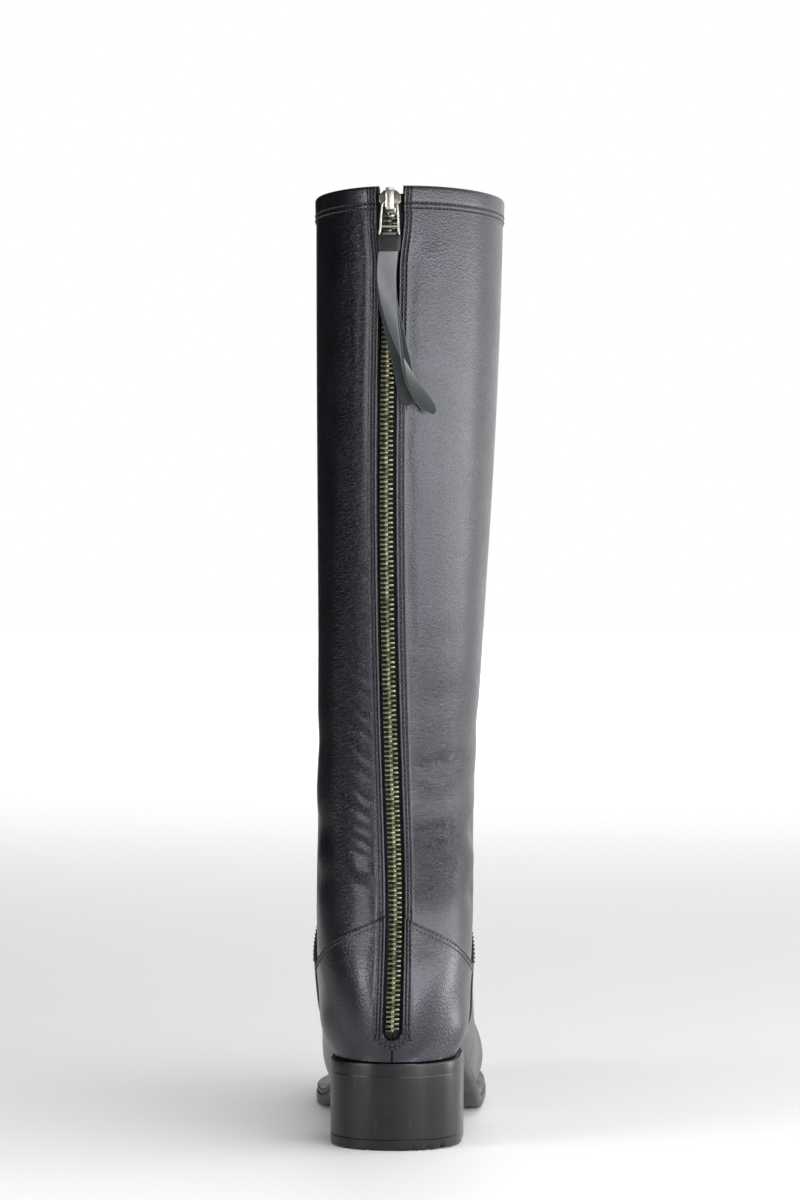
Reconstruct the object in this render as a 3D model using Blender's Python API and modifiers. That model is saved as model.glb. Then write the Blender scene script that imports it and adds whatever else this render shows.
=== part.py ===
"""A right-foot knee boot in black leather with a zip up the back, as an assembly of separate solids.

The boot stands on its sole. +Y points to the toe, +X to the outer (lateral) side, +Z up, and the
origin is the middle of the heel's footprint on the floor. Sizes in the tables are millimetres in the
shoemaker's frame, where y counts forward from the back of the heel. Blender gets metres.
"""

import math
from collections import namedtuple

import bmesh
import bpy
import numpy as np

# Driving sizes, in millimetres
MM = 0.001
GAP = 0.3  # left between two pieces that meet
SKIN_GAP = 0.45  # between the faceted upper and an overlay with facets of its own
FEATHER_GAP = 0.6  # between the upper's lower edge and the welt, which have facets of their own too
JOIN_WITHIN = 0.15  # points of one wall that lie this close are one point
WIRE_JOIN_WITHIN = 0.01  # and points of one wire
SHARP_ANGLE = math.radians(35)
HEEL_CENTRE_Y = 31.0  # the origin, forward of the back of the heel
HEEL_SEAT_Z = 40.6  # where the upper meets the sole, at the heel
WALL = 2.0  # leather and lining together
VAMP_THICK = 1.3
COUNTER_THICK = 0.9
BAND_THICK = 0.9
BAND_DEPTH = 10.0  # of the band sewn round the collar

# Sole and heel
TREAD_START_Y = 156.0  # the flat part of the forefoot runs from here
TREAD_END_Y = 206.0  # to here
BREAST_Y = 60.0  # front face of the heel
ARCH_START_Y = 56.0  # the sole leaves the heel's seat here
SOLE_TIP_Y = 270.5
TOE_SPRING = 8.5
OUTSOLE_THICK = 5.7
OUTSOLE_BEVEL = 1.6  # of its lower edge
WELT_THICK = 3.0
WELT_START_Y = 66.0
WELT_SKIVE = 32.0  # length over which the welt's ends are pared thin
WELT_THIN = 0.9
WELT_STEP_Y = 55.5  # the upper's edge climbs on to the welt from here
WELT_STEP = 5.0  # over this length
WELT_INSET = 0.5  # in from the outsole's edge
WELT_UNDER = 4.0  # how far it reaches below the upper
WELT_TIP_Y = 258.0  # its inner edge at the toe
WELT_END_HALF = 0.3  # half the cut between its two ends at the toe's tip
SEAT_BOTTOM_Z = HEEL_SEAT_Z - FEATHER_GAP - OUTSOLE_THICK  # underside of the outsole at the heel
HEEL_HALF_WIDTH = 30.4
HEEL_BACK_Y = 1.0
LIFT_THICK = 5.0
HEEL_TAPER = 1.6  # how far the heel draws in at its back, from seat to floor
BREAST_TAPER = 2.5  # and at its front
HEEL_CURVE = 32.0  # length of its round back
HEEL_ROUND = 0.86  # 1 is a plain ellipse, less is fuller
HEEL_CORNER = 4.0  # radius of its front corners
INSOLE_THICK = 2.2
INSOLE_INSET = 3.0  # in from the last's edge, clear of the wall
INSOLE_BEVEL = 0.4
TIP_WIDTH = 24.0  # a plate's lower edge loses its bevel where it gets narrower than this

# Zip
SLOT_HALF = 4.0
SLOT_TOP_HALF = 5.9  # the slot opens round the slider
SLOT_FOOT_Z = 51.0
SLOT_FLARE_Z = 403.0  # the slot starts to open here
SLOT_FLARE = 24.0  # over this height
SLIDER_Z = 429.0  # lower end of the slider
SLIDER_MIDDLE_Z = 434.0
CHAIN_HALF = 3.0
CHAIN_DEPTHS = (0.3, 2.0)  # front and back of the teeth, in from the leather's face
TAPE_DEPTHS = (2.5, 3.2)
TAPE_HALF = 11.0
TAPE_FOOT_Z = 47.0
TAPE_TOP_Z = 437.0
TAPE_EDGE = 0.2  # from the zip's line to each half of the tape
TAPE_PARTED = 2.2  # the same beside the slider's neck
TAPE_PART_LENGTH = 6.0  # it parts over this height below the slider
TAPE_RINGS = 18
CHAIN_FOOT_Z = SLOT_FOOT_Z + 3.0
CHAIN_RINGS = 20

# Pull
PIVOT_Z = 432.6
PIVOT_OUT = 2.5  # from the leather's face
WIRE_RADIUS = 0.55
CROSSBAR_RADIUS = 0.5
STRAP_WIDTH = 8.8
STRAP_NECK = 6.2  # its width where it passes through the loop
STRAP_THICK = 1.5
STRAP_FLARE_DROP = 1.6  # it widens from here below the loop's bar
STRAP_FLARE = 4.6  # over this length
STRAP_STEPS = 14
BEND_ANGLES = (30, 60, 90, 120, 150)  # of the strap over the loop's bar, in degrees
KEEPER_HEIGHT = 7.6
KEEPER_WALL = 0.6
KEEPER_BACK = 0.3  # its wall next to the boot
KEEPER_ABOVE_BAR = 1.2

# The form of the last: each row is a flat section through the upper. It runs from the back or the
# sole's edge to the front ridge, as wide as medial and lateral say at the share belly of the way.
# low_x and top_x move its two ends sideways, and peak rounds (2) or squares (over 2) its front.
# Rows with no back_z follow the sole.
Section = namedtuple("Section", "back_y back_z front_y front_z low_x top_x medial lateral belly peak")
SECTIONS = (
    Section(236.0, None, 262.6, 17.2, -2.1, -3.3, 26.4, 23.6, 0.20, 2.0),
    Section(235.4, None, 265.0, 25.0, -2.1, -3.6, 28.1, 25.3, 0.30, 2.1),
    Section(234.6, None, 259.0, 35.8, -2.0, -4.2, 30.3, 27.3, 0.36, 2.2),
    Section(232.0, None, 241.5, 43.0, -1.9, -5.0, 32.6, 29.8, 0.33, 2.2),
    Section(209.0, None, 215.0, 52.5, -2.0, -6.4, 38.2, 34.0, 0.28, 2.1),
    Section(180.0, None, 185.5, 64.5, -2.5, -7.2, 40.2, 35.2, 0.25, 2.0),
    Section(150.0, None, 159.0, 80.5, -3.5, -7.0, 38.2, 35.4, 0.27, 1.9),
    Section(120.0, None, 138.0, 101.0, -4.1, -6.4, 36.0, 35.4, 0.31, 1.9),
    Section(91.0, None, 125.0, 123.5, -3.7, -5.8, 36.8, 35.4, 0.36, 1.9),
    Section(61.0, None, 119.3, 147.0, -2.0, -5.4, 37.8, 35.8, 0.42, 1.9),
    Section(27.5, None, 117.8, 169.5, -0.3, -4.6, 37.6, 36.2, 0.46, 1.9),
    Section(3.0, None, 117.8, 190.0, 0.0, -4.1, 37.2, 36.8, 0.48, 1.95),
    Section(0.8, 66.0, 118.6, 209.0, -0.3, -3.8, 36.9, 36.9, 0.49, 2.0),
    Section(6.6, 108.0, 120.2, 234.0, -0.6, -2.8, 37.3, 37.3, 0.50, 2.0),
    Section(10.4, 152.0, 122.4, 260.0, -0.6, -1.2, 38.2, 38.2, 0.50, 2.0),
    Section(8.8, 206.0, 125.6, 299.0, 0.6, 0.6, 39.6, 39.6, 0.50, 2.0),
    Section(2.6, 280.0, 129.8, 350.0, 2.4, 2.4, 41.7, 41.7, 0.50, 2.0),
    Section(-3.4, 360.0, 133.6, 398.0, 3.8, 3.8, 43.3, 43.3, 0.50, 2.0),
    Section(-6.0, 440.0, 136.0, 440.0, 4.6, 4.6, 44.2, 44.2, 0.50, 2.0),
)
BREAST_ROW = 9.0  # the section at the heel's front face
HEEL_ROW = 11.0  # the sole's edge closes at the back of the heel here
VAMP_FRONT_ROW = 8.2  # the vamp's top edge crosses the front ridge here
COLLAR_ROW = float(len(SECTIONS) - 1)
CORNER_Z = 77.0  # height at which vamp, counter and shaft meet
SEAM_Z = 108.0  # height at which the counter's top seam meets the zip

# The vamp's back edge: the section that it has reached at each height, up to the corner
EdgeRow = namedtuple("EdgeRow", "z row")
VAMP_EDGE = (
    EdgeRow(40.0, BREAST_ROW),
    EdgeRow(44.0, 8.8),
    EdgeRow(50.0, 8.48),
    EdgeRow(62.0, 8.45),
    EdgeRow(CORNER_Z, 8.78),
)

# Half widths on each side of the foot's line: the edge of the last's bottom, and the sole
Width = namedtuple("Width", "y medial lateral")
LAST_EDGE = (
    Width(3.0, 0.0, 0.0),
    Width(30.0, 27.0, 27.0),
    Width(61.0, 24.8, 27.0),
    Width(91.0, 21.8, 28.4),
    Width(120.0, 24.6, 31.0),
    Width(150.0, 31.8, 32.8),
    Width(180.0, 36.4, 31.6),
    Width(209.0, 33.8, 29.2),
    Width(236.0, 26.2, 23.4),
    Width(252.0, 17.6, 15.8),
    Width(262.6, 0.0, 0.0),
)
SOLE_EDGE = (
    Width(0.6, 0.0, 0.0),
    Width(30.0, 30.4, 30.4),
    Width(61.0, 28.4, 31.2),
    Width(91.0, 26.8, 34.2),
    Width(120.0, 31.2, 37.8),
    Width(150.0, 41.6, 38.6),
    Width(178.0, 47.0, 38.0),
    Width(208.0, 44.6, 36.6),
    Width(235.0, 36.4, 31.4),
    Width(252.0, 26.6, 23.4),
    Width(264.0, 17.6, 16.0),
    Width(SOLE_TIP_Y, 0.0, 0.0),
)
STEEPEST = 0.97  # of a section's width, the most that its edge at the sole may have

# The foot's line leaves the heel's line to the inner side
FootLine = namedtuple("FootLine", "y x")
FOOT_LINE = (
    FootLine(0.0, 0.0),
    FootLine(30.0, 0.0),
    FootLine(61.0, -2.0),
    FootLine(91.0, -3.7),
    FootLine(120.0, -4.1),
    FootLine(150.0, -3.5),
    FootLine(180.0, -2.6),
    FootLine(220.0, -2.5),
    FootLine(SOLE_TIP_Y, -3.4),
)

# The zip's line wanders sideways a little as it climbs
ZipLine = namedtuple("ZipLine", "z x")
ZIP_LINE = (
    ZipLine(40.0, 0.0),
    ZipLine(75.0, 0.9),
    ZipLine(110.0, 1.3),
    ZipLine(150.0, 0.2),
    ZipLine(210.0, -1.6),
    ZipLine(260.0, -2.3),
    ZipLine(330.0, -2.1),
    ZipLine(390.0, -0.8),
    ZipLine(442.0, 0.0),
)

# The strap hangs in two tails from the pull's lower bar. drop counts down from that bar, out from the
# leather's face, and turn is how far the strap has twisted from facing back, in degrees.
TailRow = namedtuple("TailRow", "drop x out turn")
OUTER_TAIL = (
    TailRow(0.0, 0.0, 5.1, 0.0),
    TailRow(5.0, -0.1, 5.1, 0.0),
    TailRow(10.0, -0.6, 5.2, 1.0),
    TailRow(22.0, -0.5, 5.9, 20.0),
    TailRow(38.0, 2.4, 7.5, 50.0),
    TailRow(52.0, 6.4, 8.3, 80.0),
    TailRow(62.0, 10.2, 8.2, 112.0),
    TailRow(71.0, 15.2, 7.1, 142.0),
    TailRow(80.0, 21.2, 5.2, 160.0),
)
INNER_TAIL = (
    TailRow(0.0, 0.0, 1.9, 0.0),
    TailRow(5.0, -0.1, 1.9, 0.0),
    TailRow(10.0, -0.6, 1.9, 0.0),
    TailRow(22.0, -1.2, 2.1, -2.0),
    TailRow(38.0, 1.8, 2.2, 2.0),
    TailRow(52.0, 5.4, 2.3, 4.0),
    TailRow(64.0, 8.2, 2.3, 4.0),
    TailRow(76.0, 10.4, 2.2, 4.0),
)

# Wire of the pull: half width at each drop below the pivot
LoopRow = namedtuple("LoopRow", "drop half_width out")
LOOP = (
    LoopRow(0.0, 2.7, 0.0),
    LoopRow(1.5, 3.5, 0.1),
    LoopRow(5.0, 3.8, 0.3),
    LoopRow(11.0, 4.1, 0.7),
    LoopRow(16.0, 4.0, 1.0),
)
CROSSBAR_DROP = 11.0


def natural_spline(knots, values):
    """A smooth curve through values at the knots, as a function of one number."""
    knots = np.asarray(knots, float)
    values = np.asarray(values, float)
    gaps = np.diff(knots)
    last = len(knots) - 1
    system = np.eye(len(knots))
    pull = np.zeros_like(values)
    for i in range(1, last):
        system[i, i - 1 : i + 2] = gaps[i - 1], 2 * (gaps[i - 1] + gaps[i]), gaps[i]
        rise, fall = values[i + 1] - values[i], values[i] - values[i - 1]
        pull[i] = 6 * (rise / gaps[i] - fall / gaps[i - 1])
    bends = np.linalg.solve(system, pull)

    def at(x):
        i = int(np.clip(np.searchsorted(knots, x) - 1, 0, last - 1))
        b = (x - knots[i]) / gaps[i]
        a = 1 - b
        bend = (a**3 - a) * bends[i] + (b**3 - b) * bends[i + 1]
        return a * values[i] + b * values[i + 1] + bend * gaps[i] ** 2 / 6

    return at


def ease(x):
    """0 below 0, 1 above 1, and an S-curve between."""
    x = min(max(x, 0.0), 1.0)
    return x * x * (3 - 2 * x)


def outline(rows):
    """(share_of, at) for an outline with round ends. A share runs from 0 at the heel to 1 at the toe."""
    start, length = rows[0].y, rows[-1].y - rows[0].y

    def share_of(y):
        along = min(max((y - start) / length, 0.0), 1.0)
        return math.acos(1 - 2 * along) / math.pi

    widths = natural_spline([share_of(r.y) for r in rows], [(r.medial, r.lateral) for r in rows])

    def at(share):
        medial, lateral = np.maximum(widths(share), 0.0)
        return start + length * (1 - math.cos(math.pi * share)) / 2, medial, lateral

    return share_of, at


last_share, last_edge = outline(LAST_EDGE)
sole_share, sole_edge = outline(SOLE_EDGE)
_, insole_edge = outline(
    [LAST_EDGE[0]._replace(y=LAST_EDGE[0].y + INSOLE_INSET)]
    + [Width(w.y, w.medial - INSOLE_INSET, w.lateral - INSOLE_INSET) for w in LAST_EDGE[1:-1]]
    + [LAST_EDGE[-1]._replace(y=LAST_EDGE[-1].y - INSOLE_INSET)]
)
foot_x = natural_spline([r.y for r in FOOT_LINE], [r.x for r in FOOT_LINE])
zip_x = natural_spline([r.z for r in ZIP_LINE], [r.x for r in ZIP_LINE])
vamp_edge = natural_spline([r.z for r in VAMP_EDGE], [r.row for r in VAMP_EDGE])
form = natural_spline(
    range(len(SECTIONS)),
    [(s.front_y, s.front_z, s.low_x, s.top_x, s.medial, s.lateral, s.belly, s.peak) for s in SECTIONS],
)
foot_rows = range(int(HEEL_ROW) + 1)
along_sole = natural_spline(foot_rows, [SECTIONS[i].back_y for i in foot_rows])
back_rows = range(int(HEEL_ROW), len(SECTIONS))
back_line = natural_spline(
    back_rows, [(SECTIONS[i].back_y, SECTIONS[i].back_z or HEEL_SEAT_Z) for i in back_rows]
)


def sole_bottom(y):
    """Underside of the outsole: flat at the heel, an arch, a flat tread, then toe spring."""
    if y < TREAD_START_Y:
        return SEAT_BOTTOM_Z * (1 - ease((y - ARCH_START_Y) / (TREAD_START_Y - ARCH_START_Y)))
    return TOE_SPRING * max((y - TREAD_END_Y) / (SOLE_TIP_Y - TREAD_END_Y), 0.0) ** 2


def welt_thick(y):
    return WELT_THIN + (WELT_THICK - WELT_THIN) * ease((y - WELT_START_Y) / WELT_SKIVE)


def welt_room(y):
    """Height that the welt and its gap take above the outsole, none at the heel."""
    return (welt_thick(y) + GAP) * ease((y - WELT_STEP_Y) / WELT_STEP)


def outsole_top(y):
    return sole_bottom(y) + OUTSOLE_THICK


def feather_z(y):
    """Height at which the upper's lower edge stands on the welt or, at the heel, on the outsole."""
    return outsole_top(y) + welt_room(y) + FEATHER_GAP


def slot_half(z):
    """Half the width of the zip's slot: a round foot, straight sides, wider round the slider."""
    if z <= SLOT_FOOT_Z:
        return 0.0
    foot = min((z - SLOT_FOOT_Z) / SLOT_HALF, 1.0)
    widened = (SLOT_TOP_HALF - SLOT_HALF) * ease((z - SLOT_FLARE_Z) / SLOT_FLARE)
    return SLOT_HALF * math.sqrt(foot * (2 - foot)) + widened


Cut = namedtuple("Cut", "back_y back_z front_y front_z low_x top_x widest belly peak edge lean start")


def cut(t, side):
    """Sizes of section t on one side (-1 inner, 1 outer). Its curve begins at the angle start."""
    front_y, front_z, low_x, top_x, medial, lateral, belly, peak = form(t)
    widest = medial if side < 0 else lateral
    if t < HEEL_ROW:
        back_y = along_sole(t)
        back_z = feather_z(back_y)
        edge = last_edge(last_share(back_y))[1 if side < 0 else 2]
        lean = start = math.asin(min(edge / widest, STEEPEST))
    else:
        back_y, back_z = back_line(t)
        edge, lean = 0.0, 0.0
        start = math.asin((side * (zip_x(back_z) - low_x) + slot_half(back_z)) / widest)
    return Cut(back_y, back_z, front_y, front_z, low_x, top_x, widest, belly, peak, edge, lean, start)


def place(section, side, along, across):
    """The point of a section at a share along it and a distance across from its middle line."""
    x = section.low_x + (section.top_x - section.low_x) * along + side * across
    y = section.back_y + (section.front_y - section.back_y) * along
    z = section.back_z + (section.front_z - section.back_z) * along
    return np.stack([x, y, z], axis=-1)


def section_curve(t, side, count=200):
    """One side of section t, from its open edge to the front ridge, as points."""
    section = cut(t, side)
    angles = np.linspace(section.start, math.pi, count)
    low = angles < math.pi / 2
    cos, sin = np.abs(np.cos(angles)), np.sin(angles)
    power = 2 / section.peak
    widest, belly = section.widest, section.belly
    low_along = belly * (1 - cos / math.cos(section.lean))
    low_across = widest - (widest - section.edge) * (1 - sin) / (1 - math.sin(section.lean))
    along = np.where(low, low_along, belly + (1 - belly) * cos**power)
    across = np.where(low, low_across, widest * np.maximum(sin, 0) ** power)
    return place(section, side, along, across)


def at_height(t, side, z):
    """The point of section t that lies at height z, below its widest place."""
    section = cut(t, side)
    along = (z - section.back_z) / (section.front_z - section.back_z)
    cos = min((1 - along / section.belly) * math.cos(section.lean), 1.0)
    sin = math.sqrt(1 - cos * cos)
    across = section.widest - (section.widest - section.edge) * (1 - sin) / (1 - math.sin(section.lean))
    return place(section, side, along, across)


def surface_row(t, side, shares):
    """Points of section t at shares of its length, 0 at the open edge and 1 at the front ridge."""
    curve = section_curve(t, side)
    lengths = np.concatenate([[0.0], np.cumsum(np.linalg.norm(np.diff(curve, axis=0), axis=1))])
    wanted = np.asarray(shares) * lengths[-1]
    return np.stack([np.interp(wanted, lengths, curve[:, k]) for k in range(3)], axis=1)


def surface(t, side, v, lift=0.0):
    """The upper's outer face at section t and share v, raised outwards by lift."""
    point = surface_row(t, side, [v])[0]
    if lift == 0:
        return point
    step_t, step_v = 0.04, 0.006
    t_low, t_high = max(t - step_t, 0.0), min(t + step_t, COLLAR_ROW)
    v_low, v_high = max(v - step_v, 0.0), min(v + step_v, 1.0)
    along = surface_row(t_high, side, [v])[0] - surface_row(t_low, side, [v])[0]
    around = np.subtract(*surface_row(t, side, [v_high, v_low]))
    normal = np.cross(around, along) * side
    return point + normal / np.linalg.norm(normal) * lift


def skin(t, x, out):
    """The leather at section t, x to the side of the zip's line, raised outwards by out."""

    def on_leather(row, aside):
        front_y, front_z, low_x, _, medial, lateral, belly, _ = form(row)
        back_y, height = back_line(row)
        place = zip_x(height) + aside
        widest = lateral if place > low_x else medial
        along = belly * (1 - math.sqrt(1 - ((place - low_x) / widest) ** 2))
        return np.array([place, back_y + (front_y - back_y) * along, height + (front_z - height) * along])

    step_t, step_x = 0.05, 0.5
    across = on_leather(t, x + step_x) - on_leather(t, x - step_x)
    climb = on_leather(min(t + step_t, COLLAR_ROW), x) - on_leather(max(t - step_t, HEEL_ROW), x)
    normal = np.cross(across, climb)
    return on_leather(t, x) + normal / np.linalg.norm(normal) * out


def row_at(z):
    """The section whose back end is at height z."""
    rows = np.linspace(HEEL_ROW, COLLAR_ROW, 141)
    return float(np.interp(z, [back_line(r)[1] for r in rows], rows))


def from_zip(z, x, out, up=0.0):
    """A point x to the side of the zip's line at height z, straight out from it and up along it."""
    t = row_at(z)
    foot = skin(t, 0.0, 0.0)
    outward = skin(t, 0.0, 1.0) - foot
    outward[0] = 0.0
    outward /= np.linalg.norm(outward)
    climb = np.array([0.0, outward[2], -outward[1]])
    return foot + np.array([x, 0.0, 0.0]) + outward * out + climb * up


def to_row(points):
    """Shoemaker's millimetres to the boot's frame in metres."""
    return (np.asarray(points, float) - (0.0, HEEL_CENTRE_Y, 0.0)) * MM


def material(name, colour, roughness, metallic=0.0):
    made = bpy.data.materials.new(name)
    made.use_nodes = True
    shader = made.node_tree.nodes["Principled BSDF"]
    shader.inputs["Base Color"].default_value = (*colour, 1.0)
    shader.inputs["Roughness"].default_value = roughness
    shader.inputs["Metallic"].default_value = metallic
    return made


def new_object(name, mesh, finish, collection):
    made = bpy.data.objects.new(name, mesh)
    mesh.materials.append(finish)
    mesh.shade_smooth()
    collection.objects.link(made)
    return made


def loft(name, rings, finish, collection, closed=False):
    """A closed solid through rings of points, each with as many points as the next."""
    count = len(rings[0])
    shape = bmesh.new()
    verts = [[shape.verts.new(p) for p in to_row(ring)] for ring in rings]
    last = len(rings) if closed else len(rings) - 1
    for i in range(last):
        here, there = verts[i], verts[(i + 1) % len(rings)]
        for j in range(count):
            k = (j + 1) % count
            shape.faces.new((here[j], here[k], there[k], there[j]))
    if not closed:
        shape.faces.new(verts[0][::-1])
        shape.faces.new(verts[-1])
    bmesh.ops.recalc_face_normals(shape, faces=shape.faces)
    mesh = bpy.data.meshes.new(name)
    shape.to_mesh(mesh)
    shape.free()
    made = new_object(name, mesh, finish, collection)
    mesh.set_sharp_from_angle(angle=SHARP_ANGLE)
    return made


def sheet(name, grids, thick, finish, collection):
    """A wall grown inwards from grids of points on its outer face. Points that coincide are joined."""
    shape = bmesh.new()
    for grid in grids:
        verts = [[shape.verts.new(p) for p in to_row(row)] for row in grid]
        for low, high in zip(verts, verts[1:]):
            for j in range(len(low) - 1):
                shape.faces.new((low[j], high[j], high[j + 1], low[j + 1]))
    bmesh.ops.remove_doubles(shape, verts=shape.verts, dist=JOIN_WITHIN * MM)
    mesh = bpy.data.meshes.new(name)
    shape.to_mesh(mesh)
    shape.free()
    made = new_object(name, mesh, finish, collection)
    wall = made.modifiers.new("wall", "SOLIDIFY")
    wall.thickness = thick * MM
    wall.offset = -1.0
    wall.use_even_offset = False
    wall.use_quality_normals = True
    return made


def wall_between(name, outer, inner, finish, collection):
    """A closed wall between two grids of points that have the same rows and columns."""
    shape = bmesh.new()
    rims = []
    for grid in (outer, inner):
        verts = [[shape.verts.new(p) for p in to_row(row)] for row in grid]
        for low, high in zip(verts, verts[1:]):
            for j in range(len(low) - 1):
                shape.faces.new((low[j], high[j], high[j + 1], low[j + 1]))
        middle = verts[1:-1]
        ends = [row[-1] for row in middle], [row[0] for row in reversed(middle)]
        rims.append(verts[0] + ends[0] + verts[-1][::-1] + ends[1])
    for k in range(len(rims[0])):
        shape.faces.new((rims[0][k - 1], rims[0][k], rims[1][k], rims[1][k - 1]))
    bmesh.ops.recalc_face_normals(shape, faces=shape.faces)
    mesh = bpy.data.meshes.new(name)
    shape.to_mesh(mesh)
    shape.free()
    return new_object(name, mesh, finish, collection)


# How finely the upper is cut: shares of each section, and the sections themselves
AROUND_STEPS = 14
AROUND_EVEN = 0.45  # the rest of the spacing is closer at the open edges and the ridge
AROUND = [
    AROUND_EVEN * j / AROUND_STEPS + (1 - AROUND_EVEN) * (1 - math.cos(math.pi * j / AROUND_STEPS)) / 2
    for j in range(AROUND_STEPS + 1)
]
FOOT_ROWS = [0.0, 0.5, 1.0, 1.5, 2.0, 2.5, 3.0, 3.5, 4.0, 4.6, 5.2, 5.8, 6.4, 7.0, 7.4]
HEEL_ROWS = [7.8, 8.2, 8.6, 9.0, 9.5, 10.0, 10.4, 10.7, 10.9]
SLOT_ROWS = [11.0, 11.2, 11.42, 11.45, 11.5, 11.58, 11.7, 12.0, 12.5]  # closed at the heel, then the slot
SHAFT_ROWS = [13.0, 13.5, 14.0, 14.5, 15.0, 15.5, 16.0, 16.5, 17.0, 17.35, 17.7, COLLAR_ROW]
VAMP_TIP_ROW = 0.12
VAMP_LAST_ROWS = 4  # rows that lead over to the vamp's slanting back edge
SKIN_START = 0.02  # an overlay starts this share above the sole
TOE_SKIN_START = 0.05  # and this share where the toe's sections meet
TOE_END_ROW = 3.5  # which is up to this section
SKIN_FADE = 8  # how fast that start fades out up the section
COUNTER_BEHIND = 0.08  # sections from the vamp's edge back to the counter
COUNTER_COLUMNS = 10
COUNTER_ABOVE_SEAT = 1.2
COUNTER_FRONT_Y = BREAST_Y + 2.0  # its lower edge starts at the sole's height here
COUNTER_FRONT = 0.25  # share of its length over which its lower edge comes down to the heel's seat
COUNTER_CLIMBS = [0.0, 0.07, 0.14, 0.165, 0.22, 0.4, 0.6, 0.8, 1.0]
SEAM_SLANT = 1.2

# Shares of their length at which sole, insole and welt are cut, and the steps of other outlines
OUTSOLE_SHARES = np.linspace(0.015, 0.985, 40)
INSOLE_SHARES = np.linspace(0.02, 0.98, 30)
WELT_END_SHARE = 0.99
WELT_RINGS = 24
HEEL_STEPS = 32
CORNER_STEPS = 4
STRIP_COLUMNS = 4
EDGE_TRIES = 8  # to find where the vamp ends
HEEL_TRIES = 40  # to find where the counter ends


def round_trip(shares):
    """(side, share) pairs across the upper from its inner open edge, over the ridge, to its outer one."""
    inner = [(-1, v) for v in shares]
    return inner + [(1, v) for v in reversed(shares[:-1])]


def make_upper(finish, collection):
    """Shaft, foot and heel as one wall, open at the collar, the sole and the zip's slot."""
    rows = FOOT_ROWS + HEEL_ROWS + SLOT_ROWS + SHAFT_ROWS
    points = [[surface(t, side, v) for side, v in round_trip(AROUND)] for t in rows]
    return sheet("upper", [points], WALL, finish, collection)


def above_sole(t, v):
    """Share v moved up a little near the open edge, so that an overlay starts above the sole."""
    toe = ease(TOE_END_ROW - t)
    return v + (SKIN_START + (TOE_SKIN_START - SKIN_START) * toe) * (1 - v) ** SKIN_FADE


def edge_row(z):
    """Section that the vamp's back edge has reached at height z."""
    return float(vamp_edge(min(max(z, VAMP_EDGE[0].z), CORNER_Z)))


def vamp_end(side, v):
    """Section where the vamp ends at share v: along its back edge, then forward to the ridge."""
    corner_row = VAMP_EDGE[-1].row
    shares = np.linspace(0.0, 1.0, 101)
    corner = float(np.interp(CORNER_Z, surface_row(corner_row, side, shares)[:, 2], shares))
    if v > corner:
        return corner_row + (VAMP_FRONT_ROW - corner_row) * ease((v - corner) / (1 - corner))
    end = corner_row
    for _ in range(EDGE_TRIES):
        end = edge_row(surface_row(end, side, [above_sole(end, v)])[0][2])
    return end


def make_vamp(finish, collection):
    """Front of the foot, laid over the upper and proud of the counter at its back edge."""
    last = FOOT_ROWS[-1]
    ends = [vamp_end(side, v) for side, v in round_trip(AROUND)]

    def face(lift):
        def place_at(t, side, v):
            point = surface(t, side, above_sole(t, v), lift)
            point[2] = max(point[2], feather_z(point[1]) + GAP)
            return point

        grid = []
        for t in [VAMP_TIP_ROW] + FOOT_ROWS[1:]:
            grid.append([place_at(t, side, v) for side, v in round_trip(AROUND)])
        for k in range(1, VAMP_LAST_ROWS + 1):
            share = k / VAMP_LAST_ROWS
            row = [(last + (end - last) * share, side, v) for end, (side, v) in zip(ends, round_trip(AROUND))]
            grid.append([place_at(*spot) for spot in row])
        return grid

    return wall_between("vamp", face(SKIN_GAP + VAMP_THICK), face(SKIN_GAP), finish, collection)


def heel_row_end(side, z):
    """The section that meets the zip's slot, or the closed back below it, at height z."""
    low, high = BREAST_ROW, row_at(z)
    reach = zip_x(z) + side * slot_half(z)
    for _ in range(HEEL_TRIES):
        middle = (low + high) / 2
        if side * at_height(middle, side, z)[0] > side * reach:
            low = middle
        else:
            high = middle
    return low


def heel_wall(side, s, z, lift):
    """The heel's outer face at height z, from the vamp's edge (s = 0) to the back (s = 1), raised by lift."""
    end = heel_row_end(side, z)
    step = 0.02

    def face(share, height):
        start = edge_row(height) + COUNTER_BEHIND
        return at_height(end - (end - start) * (1 - share) ** 2, side, height)

    point = face(s, z)
    around = face(min(s + step, 1.0), z) - face(max(s - step, 0.0), z)
    rise = face(s, z + 1.0) - face(s, z)
    normal = np.cross(rise, around) * side
    if s == 1.0 and z <= SLOT_FOOT_Z:
        point[0] = zip_x(z)
        normal[0] = 0.0
    return point + normal / np.linalg.norm(normal) * lift


def seam_z(s):
    """Height of the counter's top seam, from the vamp's corner (s = 0) to the zip (s = 1)."""
    return CORNER_Z + (SEAM_Z - CORNER_Z) * s**SEAM_SLANT


def make_counter(finish, collection):
    """Back of the foot, from the vamp's edge round the heel, up to the slanting seam below the shaft."""
    lift = SKIN_GAP + COUNTER_THICK
    front_z = feather_z(COUNTER_FRONT_Y)
    halves = []
    for side in (-1, 1):
        half = []
        for s in np.linspace(0.0, 1.0, COUNTER_COLUMNS)[::-side]:
            low = front_z + (HEEL_SEAT_Z - front_z) * ease(s / COUNTER_FRONT) + COUNTER_ABOVE_SEAT
            half.append([heel_wall(side, s, low + (seam_z(s) - low) * up, lift) for up in COUNTER_CLIMBS])
        halves.append(half)
    return sheet("counter", halves, COUNTER_THICK, finish, collection)


def below_collar(side, v, depth):
    """The section that share v of the shaft passes at a depth below the collar."""
    rows = np.linspace(COLLAR_ROW - 0.5, COLLAR_ROW, 11)
    heights = [surface_row(t, side, [v])[0][2] for t in rows]
    return float(np.interp(heights[-1] - depth, heights, rows))


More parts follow.
